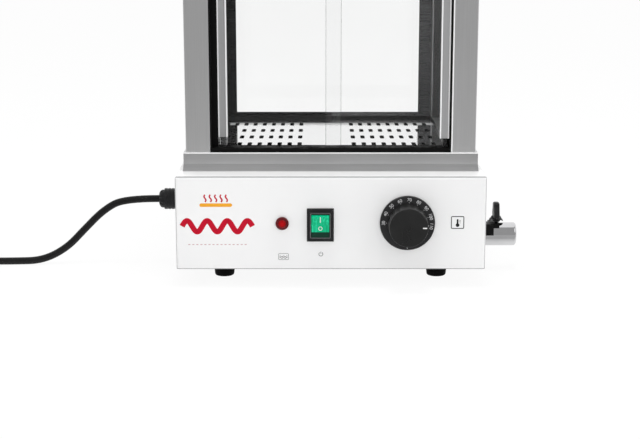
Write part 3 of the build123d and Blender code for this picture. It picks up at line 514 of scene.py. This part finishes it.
# Dark steel as painted shade, for the water tank inside the base.
shaded_tank_steel = brushed("shaded_tank_steel", (0.05, 0.05, 0.052), 0.3, "round")
zinc = polished("zinc_plate", (0.58, 0.59, 0.62), 0.3)
chrome = polished("chrome", (0.82, 0.82, 0.83), 0.07)
tube_chrome = polished("tube_chrome", (0.70, 0.70, 0.71), 0.05)
brass = polished("brass", (0.72, 0.50, 0.22), 0.28)
heater = polished("heater_sheath", (0.22, 0.20, 0.18), 0.42)
white_paint = painted_steel()
black_plastic = moulded("black_plastic", (0.020, 0.020, 0.021), 0.42)
black_satin = moulded("black_satin", (0.016, 0.016, 0.017), 0.34, 2200, 0.08)
black_track = moulded("black_track", (0.005, 0.005, 0.005), 0.48, specular=0.08)
knob_black = moulded("knob_black", (0.010, 0.010, 0.010), 0.3, 2200, 0.08, specular=0.35)
stop_black = moulded("stop_black", (0.006, 0.006, 0.006), 0.42, specular=0.1)
dial_black = moulded("dial_black", (0.026, 0.026, 0.027), 0.4)
bezel_red = moulded("bezel_red", (0.10, 0.002, 0.006), 0.22, coat=0.5)
rubber = moulded("black_rubber", (0.008, 0.008, 0.008), 0.66, 900, 0.2, specular=0.1)
cable_pvc = moulded("cable_pvc", (0.009, 0.009, 0.009), 0.38, 700, 0.08)
silicone = moulded("silicone_hose", (0.62, 0.60, 0.56), 0.5, 500, specular=0.5)
white_plastic = moulded("white_plastic", (0.78, 0.77, 0.74), 0.42, specular=0.5)
anodised = pull_profile()
left_pane = clear_glass("left_pane", "Y", "left_door_glass")
right_pane = clear_glass("right_pane", "Y", "right_door_glass")
rear_pane = clear_glass("rear_pane", "Y")
side_pane = clear_glass("side_pane", "X")
signal_red = lamp_red()
lit_green = rocker_green()
white_ink = printed("white_ink", (0.80, 0.80, 0.80))
# Grey ink for the painted highlight round the rocker's window.
painted_rim_highlight = printed("painted_rim_highlight", (0.22, 0.22, 0.225))
grey_ink = printed("grey_ink", (0.70, 0.70, 0.71))
dark_ink = printed("dark_ink", (0.03, 0.03, 0.032))
red_ink = printed("red_ink", (0.53, 0.003, 0.022))
amber_ink = printed("amber_ink", (0.85, 0.38, 0.03))
faded_ink = printed("faded_ink", (0.55, 0.33, 0.34))

node_looks = {
    "base_casing": white_paint, "base_plate": inner_steel, "foot_screws": zinc, "base_plate_screws": zinc,
    "water_tank": shaded_tank_steel, "heating_element": heater, "element_nuts": brass, "sensor_bulb": brass,
    "dry_boil_cutout": white_plastic, "lamp_body": bezel_red, "lamp_lens": signal_red,
    "rocker_housing": black_plastic, "rocker_button": lit_green, "dial_ring": dial_black,
    "control_knob": knob_black, "thermostat_shaft": brass, "thermostat_body": white_plastic,
    "valve_body": tube_chrome, "valve_ball": chrome, "valve_stem": black_plastic, "drain_lever": black_satin,
    "valve_stop": stop_black, "valve_locknut": brass, "drain_hose": silicone,
    "lower_collar": collar_steel, "roof": sheet_steel, "roof_screws": zinc,
    "lower_door_track": black_track, "upper_door_track": black_track, "left_door_jamb": black_track,
    "right_door_jamb": black_track, "left_door_glass": left_pane, "right_door_glass": right_pane,
    "left_door_pull": anodised, "right_door_pull": anodised, "rear_frame": shaded_rear_steel,
    "rear_glass": rear_pane, "rear_clips": zinc, "left_side_glass": side_pane,
    "right_side_glass": side_pane, "side_channels": black_track, "perforated_tray": tray_steel,
    "cable_gland": black_satin, "gland_locknut": black_plastic, "terminal_block": white_plastic,
    "supply_lead": cable_pvc, "mains_lead": cable_pvc, "cord_coil": cable_pvc, "cord_tail": cable_pvc,
    "coil_tie": rubber, "mains_plug": rubber, "plug_pins": chrome,
}
for row in ("front", "rear"):
    for hand in ("left", "right"):
        node_looks[f"foot_{row}_{hand}"] = rubber
        node_looks[f"post_{row}_{hand}"] = post_steel if row == "front" else rear_post_steel
node_looks["post_front_right"] = right_post_steel

for node, look in node_looks.items():
    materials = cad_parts[node].data.materials
    for index in range(max(1, len(materials))):
        if len(materials) <= index:
            materials.append(look)
        else:
            materials[index] = look

# ---------------------------------------------------------------- pieces
INK = 0.06               # thickness of the print
SUNK = 0.02              # of which in the surface
SHARP_ANGLE = math.radians(32)


def piece(name, shape, look, body, replaced=()):
    """A mesh from a bmesh, as a piece that rides on a body; replaced are the CAD nodes it stands for."""
    mesh = bpy.data.meshes.new(name)
    bmesh.ops.remove_doubles(shape, verts=shape.verts, dist=1e-7)
    bmesh.ops.recalc_face_normals(shape, faces=shape.faces)
    shape.to_mesh(mesh)
    shape.free()
    mesh.shade_smooth()
    mesh.set_sharp_from_angle(angle=SHARP_ANGLE)
    mesh.materials.append(look)
    made = bpy.data.objects.new(name, mesh)
    bpy.context.scene.collection.objects.link(made)
    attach(made, body)
    if replaced:
        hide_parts(*replaced)
    return made


def bridge(shape, loops, closed=False):
    """Faces between loops of as many corners, and over the two ends unless the loops close on themselves."""
    pairs = list(zip(loops, loops[1:])) + ([(loops[-1], loops[0])] if closed else [])
    for first, second in pairs:
        count = len(first)
        for i in range(count):
            j = (i + 1) % count
            shape.faces.new((first[i], first[j], second[j], second[i]))
    if not closed:
        shape.faces.new(loops[0])
        shape.faces.new(loops[-1])


def lathe(shape, profile, place, steps=64, swell=None, closed=False):
    """Spins (along, radius) pairs round an axis.

    place(along, u, v) gives a corner, and swell(index, angle) scales its radius.
    """
    loops = []
    for index, (along, radius) in enumerate(profile):
        loop = []
        for step in range(steps):
            angle = 2 * math.pi * step / steps
            reach = radius * (swell(index, angle) if swell else 1)
            loop.append(shape.verts.new(place(along, reach * math.cos(angle), reach * math.sin(angle))))
        loops.append(loop)
    bridge(shape, loops, closed)


def prism(shape, outline, place, depth):
    """Extrudes a flat outline (u, v) by depth; place(u, v, d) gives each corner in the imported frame."""
    bridge(shape, [[shape.verts.new(place(u, v, d)) for u, v in outline] for d in (0, depth)])


def ring_prism(shape, outer, inner, place, depth):
    """The same between two outlines with as many corners."""
    loops = [[shape.verts.new(place(u, v, d)) for u, v in line]
             for line in (outer, inner) for d in (0, depth)]
    outer_back, outer_front, inner_back, inner_front = loops
    count = len(outer)
    for i in range(count):
        j = (i + 1) % count
        shape.faces.new((outer_back[i], outer_back[j], outer_front[j], outer_front[i]))
        shape.faces.new((inner_back[i], inner_back[j], inner_front[j], inner_front[i]))
        shape.faces.new((outer_back[i], outer_back[j], inner_back[j], inner_back[i]))
        shape.faces.new((outer_front[i], outer_front[j], inner_front[j], inner_front[i]))


def on_panel(x, z):
    """The place function for print on the front panel, about a point on it."""
    def place(u, v, d):
        return at(x + u, SUNK - d, z + v)
    return place


def oval(width, height, corner, steps=6):
    """A rectangle with round corners."""
    corner = min(corner, width / 2 - 1e-4, height / 2 - 1e-4)
    outline = []
    for quarter, (sx, sy) in enumerate(((1, 1), (-1, 1), (-1, -1), (1, -1))):
        for step in range(steps + 1):
            angle = math.pi / 2 * (quarter + step / steps)
            outline.append((sx * (width / 2 - corner) + corner * math.cos(angle),
                            sy * (height / 2 - corner) + corner * math.sin(angle)))
    return outline


def disc(radius, steps):
    angles = [2 * math.pi * i / steps for i in range(steps)]
    return [(radius * math.cos(angle), radius * math.sin(angle)) for angle in angles]


def arc_band(radius, width, start, end, steps=40):
    """A band along an arc, in degrees."""
    angles = [math.radians(start + (end - start) * i / steps) for i in range(steps + 1)]
    outer = [((radius + width / 2) * math.cos(a), (radius + width / 2) * math.sin(a)) for a in angles]
    inner = [((radius - width / 2) * math.cos(a), (radius - width / 2) * math.sin(a)) for a in angles]
    return outer + inner[::-1]


def wave_band(length, reach, width, waves, steps=96, upright=False):
    """A band of even width along a sine wave."""
    def line(t):
        return (length * (t - 0.5), reach * math.sin(2 * math.pi * waves * t))
    edges = ([], [])
    for i in range(steps + 1):
        t = i / steps
        u, v = line(t)
        u1, v1 = line(t + 1e-4)
        run = math.hypot(u1 - u, v1 - v)
        nu, nv = -(v1 - v) / run, (u1 - u) / run
        for edge, sign in zip(edges, (1, -1)):
            edge.append((u + sign * nu * width / 2, v + sign * nv * width / 2))
    outline = edges[0] + edges[1][::-1]
    return [(v, u) for u, v in outline] if upright else outline


def strip_prism(shape, outline, place, depth):
    """A prism of a band whose outline runs along one edge and back along the other."""
    half = len(outline) // 2
    first, second = outline[:half], outline[half:][::-1]
    loops = [[shape.verts.new(place(u, v, d)) for u, v in line]
             for line in (first, second) for d in (0, depth)]
    for i in range(half - 1):
        for a, b in ((0, 1), (2, 3), (0, 2), (1, 3)):
            shape.faces.new((loops[a][i], loops[a][i + 1], loops[b][i + 1], loops[b][i]))
    for i in (0, half - 1):
        shape.faces.new((loops[0][i], loops[1][i], loops[3][i], loops[2][i]))


def text_outlines(words, size):
    """The mesh of a generic number, centred, in mm."""
    curve = bpy.data.curves.new("number", "FONT")
    curve.body = words
    curve.size = size
    curve.align_x = "CENTER"
    curve.align_y = "CENTER"
    curve.extrude = INK / 2
    holder = bpy.data.objects.new("number", curve)
    mesh = bpy.data.meshes.new_from_object(holder)
    bpy.data.objects.remove(holder)
    bpy.data.curves.remove(curve)
    return mesh


# ---------------------------------------------------------------- print on the front panel
RIBBON = (-132.1, 73.2)
STEAM = (-133.5, 106.3)
STEAM_PITCH = 6.2
MOTIF_BASE = (-133.5, 98.3)
DASHES = (-132.2, 51.4)
DASH_COUNT = 15
DASH_PITCH = 4.7
THERMOMETER = (147.4, 77.7)
WATER_LEVEL = (-55.2, 36.9)
POWER = (-11.6, 39.9)


def panel_ribbon():
    shape = bmesh.new()
    strip_prism(shape, wave_band(82, 6.6, 6.4, 3.5, 160), on_panel(*RIBBON), INK)
    piece("panel_ribbon", shape, red_ink, "cabinet")


def panel_steam():
    x, z = STEAM
    shape = bmesh.new()
    for column in range(-2, 3):
        wisp = wave_band(8.6, 1.1, 1.7, 1, 24, upright=True)
        strip_prism(shape, wisp, on_panel(x + column * STEAM_PITCH, z), INK)
    piece("panel_steam", shape, red_ink, "cabinet")


def panel_motif_base():
    shape = bmesh.new()
    prism(shape, oval(38, 4.2, 2.1), on_panel(*MOTIF_BASE), INK)
    piece("panel_motif_base", shape, amber_ink, "cabinet")


def panel_dashes():
    x, z = DASHES
    shape = bmesh.new()
    for dash in range(DASH_COUNT):
        prism(shape, oval(2.6, 0.9, 0.45, 3), on_panel(x + (dash - DASH_COUNT // 2) * DASH_PITCH, z), INK)
    piece("panel_dashes", shape, faded_ink, "cabinet")


def panel_thermometer():
    x, z = THERMOMETER
    shape = bmesh.new()
    ring_prism(shape, oval(15.4, 15.1, 1.6), oval(13.4, 13.1, 0.7), on_panel(x, z), INK)
    prism(shape, disc(2.2, 32), on_panel(x, z - 3.1), INK)
    prism(shape, oval(2.0, 7.2, 0.9), on_panel(x, z + 0.5), INK)
    for tick in range(3):
        prism(shape, oval(1.5, 0.5, 0.2, 3), on_panel(x + 2.8, z - 0.5 + tick * 1.5), INK)
    piece("panel_thermometer", shape, dark_ink, "cabinet")


def panel_water_level():
    x, z = WATER_LEVEL
    shape = bmesh.new()
    ring_prism(shape, oval(12.0, 7.6, 1.0), oval(11.2, 6.8, 0.6), on_panel(x, z), INK)
    for level in range(2):
        strip_prism(shape, wave_band(9.4, 0.55, 0.55, 2.5, 40), on_panel(x, z - 1.6 + level * 1.9), INK)
    piece("panel_water_level", shape, dark_ink, "cabinet")


def panel_power():
    x, z = POWER
    shape = bmesh.new()
    strip_prism(shape, arc_band(2.3, 0.6, 125, 415), on_panel(x, z), INK)
    prism(shape, oval(0.6, 2.6, 0.3, 3), on_panel(x, z + 1.7), INK)
    piece("panel_power", shape, dark_ink, "cabinet")


panel_ribbon()
panel_steam()
panel_motif_base()
panel_dashes()
panel_thermometer()
panel_water_level()
panel_power()

# ---------------------------------------------------------------- dial and knob
NUMBERS = range(30, 111, 10)
NUMBER_SIZE = 5.4
NUMBER_RADIUS = 27.8
DOT_RADIUS = 24.6
FIRST_NUMBER = 179       # degrees
NUMBER_STEP = 23.2


def number_angle(index):
    return FIRST_NUMBER - NUMBER_STEP * index


def on_dial(radius, degrees):
    """The place function for a mark on the dial."""
    angle = math.radians(degrees)
    x = DIAL_X + radius * math.cos(angle)
    z = DIAL_Z + radius * math.sin(angle)

    def place(u, v, d):
        return at(x + u, SUNK - DIAL_FACE - d, z + v)
    return place


def add_number(shape, words, degrees):
    """A number whose foot points to the dial's middle."""
    number = text_outlines(words, NUMBER_SIZE)
    turn = Matrix.Rotation(math.radians(degrees - 90), 4, "Z")
    place = on_dial(NUMBER_RADIUS, degrees)
    start = len(shape.verts)
    shape.from_mesh(number)
    bpy.data.meshes.remove(number)
    shape.verts.ensure_lookup_table()
    for vert in shape.verts[start:]:
        vert.co = place(*(turn @ vert.co))


def dial_numbers():
    shape = bmesh.new()
    for index, number in enumerate(NUMBERS):
        add_number(shape, str(number), number_angle(index))
    for index in range(len(NUMBERS)):
        prism(shape, disc(0.45, 16), on_dial(DOT_RADIUS, number_angle(index)), INK)
    prism(shape, disc(0.5, 16), on_dial(29.4, -90), INK)
    piece("dial_numbers", shape, grey_ink, "cabinet")


KNOB_RADIUS = 22.3
KNOB_FRONT = -30.5
POINTER_LENGTH = 4.8
POINTER_FROM_EDGE = 1.5
POINTER_GROOVE = 0.6


def on_knob(u, v, d):
    x = DIAL_X + KNOB_RADIUS - POINTER_FROM_EDGE - POINTER_LENGTH / 2
    return at(x + u, KNOB_FRONT + POINTER_GROOVE - d, DIAL_Z + v)


def knob_pointer():
    shape = bmesh.new()
    prism(shape, oval(POINTER_LENGTH, 1.7, 0.5), on_knob, 0.5)
    piece("knob_pointer", shape, white_ink, "knob")


dial_numbers()
knob_pointer()

# ---------------------------------------------------------------- rocker switch
ROCKER_PIVOT = Vector((0, -2.5, 0))
ROCKER_TILT = Matrix.Rotation(math.radians(10), 4, "X")
ROCKER_HALF = 12.7
ROCKER_WAIST = 5.4       # from the panel to the face in its middle
ROCKER_END = 8.6         # and at its two ends
ROCKER_RIM = 5.6


def on_rocker(height):
    """The place function on the rocker's face, at a height from its waist along Z before it was tilted."""
    slope = (ROCKER_END - ROCKER_WAIST) / ROCKER_HALF
    lean = math.atan(slope) * (1 if height > 0 else -1)

    def place(u, v, d):
        z = height + v * math.cos(lean)
        y = -ROCKER_WAIST - abs(z) * slope - (d - SUNK)
        local = ROCKER_TILT @ (Vector((u, y, z)) - ROCKER_PIVOT) + ROCKER_PIVOT
        return at(ROCKER_X + local.x, local.y, ROCKER_Z + local.z)
    return place


def on_rocker_rim(u, v, d):
    return at(ROCKER_X + u, SUNK - ROCKER_RIM - d, ROCKER_Z + v)


def rocker_marks():
    shape = bmesh.new()
    prism(shape, oval(0.8, 8.2, 0.35), on_rocker(8.9), INK)
    ring_prism(shape, disc(2.4, 40), disc(1.7, 40), on_rocker(-2.6), INK)
    piece("rocker_marks", shape, white_ink, "rocker")


# A grey ring round the rocker's window: a painted highlight on the rim's chamfer.
def rocker_rim_line():
    shape = bmesh.new()
    ring_prism(shape, oval(23.4, 29.4, 0.8), oval(22.4, 28.4, 0.4), on_rocker_rim, INK)
    piece("rocker_rim_line", shape, painted_rim_highlight, "cabinet")


rocker_marks()
rocker_rim_line()


# ---------------------------------------------------------------- screws and feet
def screw(shape, place, radius, height, shank_radius, shank_length):
    """A pan-head screw with a cross recess; place(along, u, v) counts along from the head's seat."""
    arm = 0.56 * radius
    slot = 0.13 * radius
    profile = [
        (-shank_length, shank_radius * 0.5), (-shank_length + 0.6, shank_radius), (0, shank_radius),
        (0, radius), (0.35 * height, radius), (0.7 * height, 0.9 * radius), (0.93 * height, 0.75 * radius),
        (height, 0.6 * radius), (height, arm), (0.35 * height, arm), (0.25 * height, 0.6 * arm),
    ]
    recess_start = 8         # the first pair of the profile that is the cross

    def cross(index, angle):
        if index < recess_start:
            return 1
        turn = (angle + math.pi / 4) % (math.pi / 2) - math.pi / 4
        return min(arm / math.cos(turn), slot / max(abs(math.sin(turn)), 1e-3)) / arm

    lathe(shape, profile, place, 48, cross)


FEET = [(x, y) for x in (-128.4, 128.4) for y in (60, 332)]
FOOT_NAMES = ("front_left", "rear_left", "front_right", "rear_right")
POSTS = [(x, y) for x in (-156.05, 156.05) for y in (49, 343)]
PLATE_SCREWS = [(x, y) for x in (-172.8, 172.8) for y in (60, 196, 332)]
ROOF_SCREW_SEAT = 527.2
FOOT_SCREW_SEAT = 6.0


def upright(x, y, z, up):
    """The place function of a turned form that stands, or hangs where up is -1."""
    def place(along, u, v):
        return at(x + u, y + v, z + up * along)
    return place


def roof_screws():
    shape = bmesh.new()
    for x, y in POSTS:
        screw(shape, upright(x, y, ROOF_SCREW_SEAT, 1), 4.0, 1.8, 2.0, 8.0)
    piece("roof_screw_set", shape, zinc, "cabinet", ["roof_screws"])


def plate_screws():
    shape = bmesh.new()
    for x, y in PLATE_SCREWS:
        screw(shape, upright(x, y, BASE_BOTTOM, -1), 4.0, 2.2, 2.0, 4.7)
    piece("plate_screw_set", shape, zinc, "cabinet", ["base_plate_screws"])


def foot_screws():
    shape = bmesh.new()
    for x, y in FEET:
        screw(shape, upright(x, y, FOOT_SCREW_SEAT, -1), 4.5, 2.5, 2.5, 20.7)
    piece("foot_screw_set", shape, zinc, "cabinet", ["foot_screws"])


def rubber_foot(name, x, y):
    profile = [
        (23.5, 2.6), (23.5, 12.7), (23.1, 13), (8.4, 12.3), (8.0, 12), (7.2, 12), (6.8, 12.2), (2.0, 11.7),
        (0.8, 11.2), (0.2, 10.3), (0, 9.3), (0, 6.6), (0.5, 6.0), (6, 6), (6, 2.6),
    ]
    shape = bmesh.new()
    lathe(shape, profile, upright(x, y, 0, 1), 64, closed=True)
    piece(f"rubber_foot_{name}", shape, rubber, "cabinet", [f"foot_{name}"])


roof_screws()
plate_screws()
foot_screws()
for name, (x, y) in zip(FOOT_NAMES, FEET):
    rubber_foot(name, x, y)

# ---------------------------------------------------------------- cable gland
GLAND = (-180.8, 120, 82)
GLAND_BODY = 25.0
GLAND_RADIUS = 13.1
GLAND_GROOVE = 0.4
GLAND_RINGS = 5
CLAWS = 8

gland_profile = [(-12, 9.4), (-11.4, 10), (0, 10), (0, GLAND_RADIUS - GLAND_GROOVE), (0.4, GLAND_RADIUS)]
for ring in range(1, GLAND_RINGS + 1):
    middle = GLAND_BODY * ring / (GLAND_RINGS + 1)
    gland_profile += [
        (middle - 0.9, GLAND_RADIUS), (middle - 0.6, GLAND_RADIUS - GLAND_GROOVE),
        (middle + 0.6, GLAND_RADIUS - GLAND_GROOVE), (middle + 0.9, GLAND_RADIUS),
    ]
gland_profile += [
    (24.6, GLAND_RADIUS), (25.0, GLAND_RADIUS - GLAND_GROOVE), (25.0, 11.0), (25.4, 11.2), (27.0, 11.2),
    (28.5, 11.0), (29.9, 10.1), (30.9, 8.8), (31.5, 7.4), (31.8, 5.0),
]


def on_gland(along, u, v):
    return at(GLAND[0] - along, GLAND[1] + u, GLAND[2] + v)


def clawed(index, angle):
    """Flats for a spanner round the nut, and slots between the claws on its dome."""
    along = gland_profile[index][0]
    if along <= GLAND_BODY:
        return 1
    wave = math.cos(CLAWS * angle)
    if along < 27:
        return 1 - 0.035 * max(0.0, -wave)
    depth = 0.16 * min(1.0, (along - 26) / 3) * (1 if along < 31.7 else 0)
    return 1 - depth * max(0.0, (-wave - 0.55) / 0.45)


def gland_and_nut():
    shape = bmesh.new()
    lathe(shape, gland_profile, on_gland, 128, clawed)
    return piece("gland_and_nut", shape, black_satin, "cabinet", ["cable_gland"])


gland = gland_and_nut()

# ---------------------------------------------------------------- drain lever
STEM_X = 203.5
STEM_Y = 92.0
LEVER_BOTTOM = 60.4
paddle = [                # height, half width across the tube, half thickness, depth of the thumb rest
    (2.8, 10.4, 3.0, 0), (4.0, 11.4, 3.55, 0), (6.3, 12.5, 3.75, 0), (8.6, 13.0, 3.75, 0),
    (10.5, 12.2, 3.75, 0), (12.0, 11.4, 3.75, 0.9), (14.2, 10.2, 3.75, 1.3), (17.0, 8.7, 3.75, 1.3),
    (19.3, 7.5, 3.75, 0.9), (20.8, 6.7, 3.75, 0), (21.9, 5.6, 3.4, 0), (22.6, 4.2, 2.4, 0),
    (22.8, 2.8, 1.2, 0),
]
skirt = [                 # height, radius
    (0, 8.8), (0.9, 8.5), (2.6, 7.2), (4.4, 6.1), (5.6, 5.5), (5.6, 2.6), (3.6, 3.0), (1.6, 5.6), (0, 7.7),
]
SKIRT_ARCH = 2.1         # how high the arches in its lower edge go
SKIRT_FREE = 2.6         # height that the arches fade out to
SKIRT_STEPS = 96


def paddle_section(half, thick, rest, steps=48):
    outline = []
    for step in range(steps):
        angle = 2 * math.pi * step / steps
        c, s = math.cos(angle), math.sin(angle)
        u = thick * math.copysign(abs(c) ** 0.45, c)
        v = half * math.copysign(abs(s) ** 0.45, s)
        if abs(u) < 0.62 * thick:
            v -= math.copysign(rest * (1 - (u / (0.62 * thick)) ** 2) ** 0.5, v)
        outline.append((u, v))
    return outline


def on_lever(x, y, height):
    return at(STEM_X + x, STEM_Y + y, LEVER_BOTTOM + height)


def add_paddle(shape):
    loops = []
    for height, half, thick, rest in paddle:
        loops.append([shape.verts.new(on_lever(u, v, height)) for u, v in paddle_section(half, thick, rest)])
    bridge(shape, loops)


def add_skirt(shape):
    """The skirt has four arches round its lower edge."""
    loops = []
    for height, radius in skirt:
        loop = []
        for step in range(SKIRT_STEPS):
            angle = 2 * math.pi * step / SKIRT_STEPS
            arch = max(0.0, math.cos(4 * angle + math.pi)) ** 0.7
            lift = SKIRT_ARCH * arch * max(0.0, 1 - height / SKIRT_FREE)
            loop.append(shape.verts.new(on_lever(radius * math.cos(angle), radius * math.sin(angle),
                                                 height + lift)))
        loops.append(loop)
    bridge(shape, loops, closed=True)


def lever_handle():
    shape = bmesh.new()
    add_paddle(shape)
    add_skirt(shape)
    lathe(shape, [(0, 2.9), (0.3, 3.2), (4.2, 3.2), (4.5, 2.9)], upright(STEM_X, STEM_Y, LEVER_BOTTOM, 1), 48)
    piece("lever_handle", shape, black_satin, "valve_handle", ["drain_lever"])


lever_handle()

# ---------------------------------------------------------------- mains plug
PLUG_X = COIL_X - COIL_RADIUS
PLUG_START = 259
PLUG_HEIGHT = 18.8
PIN_HALF_SPACING = 9.5
PIN_SEAT = 48
FACE_EDGE = 24           # the last pairs of the profile, which are the face's hollow

plug_profile = [
    (0, 4.9), (0.4, 5.6), (1.6, 5.8), (2.2, 5.2), (3.4, 5.3), (4.0, 6.2), (5.4, 6.4), (6.0, 5.7), (7.2, 5.8),
    (7.8, 6.8), (9.2, 7.0), (9.8, 6.2), (11.0, 6.4), (11.6, 7.6), (14, 8.4), (20, 10.2), (26, 12.2),
    (30.5, 14.6), (32.4, 16.6), (33.2, 17.9), (34.5, 18.5), (51.0, 18.5), (52.4, 18.1), (53.0, 17.2),
    (53.0, 15.2), (48.0, 14.8), (48.0, 8),
]


def on_plug(side, start):
    """The place function of a turned form that lies along the plug, to one side of its middle."""
    def place(along, u, v):
        return at(PLUG_X + side + u, PLUG_START + start + along, PLUG_HEIGHT + v)
    return place


def plug_form(index, angle):
    """The grip is flattened at its sides, with finger ribs; the face has two flats for the earth clips."""
    along = plug_profile[index][0]
    if 12 < along < 33:
        share = math.sin(math.pi * (along - 12) / 21)
        return 1 - 0.18 * share * abs(math.sin(angle)) ** 3 - 0.02 * share * math.cos(16 * angle)
    if 33 < along <= 53 and index < FACE_EDGE:
        return 1 - 0.05 * max(0.0, (abs(math.sin(angle)) - 0.93) / 0.07)
    return 1


def plug_body():
    shape = bmesh.new()
    lathe(shape, plug_profile, on_plug(0, 0), 96, plug_form)
    return piece("plug_body", shape, rubber, "cabinet", ["mains_plug"])


def plug_pins():
    shape = bmesh.new()
    for side in (-PIN_HALF_SPACING, PIN_HALF_SPACING):
        profile = [(0, 2.4), (20.6, 2.4), (22.2, 2.15), (23.4, 1.5), (24, 0.7)]
        lathe(shape, profile, on_plug(side, PIN_SEAT), 40)
    return piece("plug_pin_pair", shape, chrome, "cabinet", ["plug_pins"])


plug = plug_body()
pins = plug_pins()

# ---------------------------------------------------------------- the cord, dressed
cord = lead_line()
cord.data.materials.append(cable_pvc)
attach(cord, "cabinet")
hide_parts("mains_lead", "cord_coil", "cord_tail")


# ---------------------------------------------------------------- floor, world and lamps
FLOOR_REACH = 30
FLOOR_GLOW = 0.93        # share of the floor that is plain white to the camera, the rest takes shadows
FLOOR_MIRRORED = 0.8
WORLD_LIGHT = 0.78
WORLD_DIM = 0.62         # how much darker the world in front is in mirrors


def floor_plane():
    """A white floor with soft shadows, darker close in front where metal mirrors it."""
    shape = bmesh.new()
    ends = ((-1, -1), (1, -1), (1, 1), (-1, 1))
    shape.faces.new([shape.verts.new((x * FLOOR_REACH, y * FLOOR_REACH, 0)) for x, y in ends])
    mesh = bpy.data.meshes.new("floor")
    shape.to_mesh(mesh)
    shape.free()
    floor = bpy.data.objects.new("floor", mesh)
    bpy.context.scene.collection.objects.link(floor)
    look = Look("floor", Base_Color=(0.9, 0.9, 0.9, 1), Roughness=0.9, Specular_IOR_Level=0.0)
    straight, mirrored = look.rays()
    glow = look.add("ShaderNodeEmission")
    near = look.spread(look.axis("Y"), 0.30, 0.95, -0.16, -0.10)
    look.feed(glow.inputs["Strength"], look.plus(straight, look.times(mirrored, near)))
    share = look.plus(look.times(straight, FLOOR_GLOW), look.times(mirrored, FLOOR_MIRRORED))
    look.blend_surface(share, glow)
    mesh.materials.append(look.material)


def studio_world():
    """White all round, grey in front for what the metal mirrors."""
    world = bpy.data.worlds.new("studio")
    world.use_nodes = True
    bpy.context.scene.world = world
    sky = Nodes(world.node_tree, "Generated")
    straight, mirrored = sky.rays()
    front = sky.spread(sky.axis("Y"), 0, 1, 0.25, -0.15)
    low = sky.spread(sky.axis("Z"), 0, 1, 0.985, 0.955)
    image = sky.minus(1, sky.times(sky.times(front, low), WORLD_DIM))
    lit = sky.minus(1, sky.math("MINIMUM", sky.plus(straight, mirrored), 1))
    strength = sky.plus(sky.plus(straight, sky.times(mirrored, image)), sky.times(lit, WORLD_LIGHT))
    background = sky.tree.nodes["Background"]
    sky.feed(background.inputs["Strength"], strength)
    background.inputs["Color"].default_value = (1, 1, 1, 1)


def soft_lamp(name, place, aim, size, power, mirrored=True):
    lamp = bpy.data.lights.new(name, "AREA")
    lamp.shape = "DISK"
    lamp.size = size
    lamp.energy = power
    made = bpy.data.objects.new(name, lamp)
    made.location = place
    made.rotation_euler = (Vector(aim) - Vector(place)).to_track_quat("-Z", "Y").to_euler()
    made.visible_glossy = mirrored
    bpy.context.scene.collection.objects.link(made)


floor_plane()
studio_world()
soft_lamp("key", (-1.2, -1.6, 2.2), (0, 0, 0.1), 1.6, 3)
soft_lamp("fill", (1.6, -1.2, 1.4), (0, 0, 0.15), 1.6, 6)
soft_lamp("overhead", (0, -0.24, 2.6), (0, -0.2, 0.1), 0.6, 36, mirrored=False)
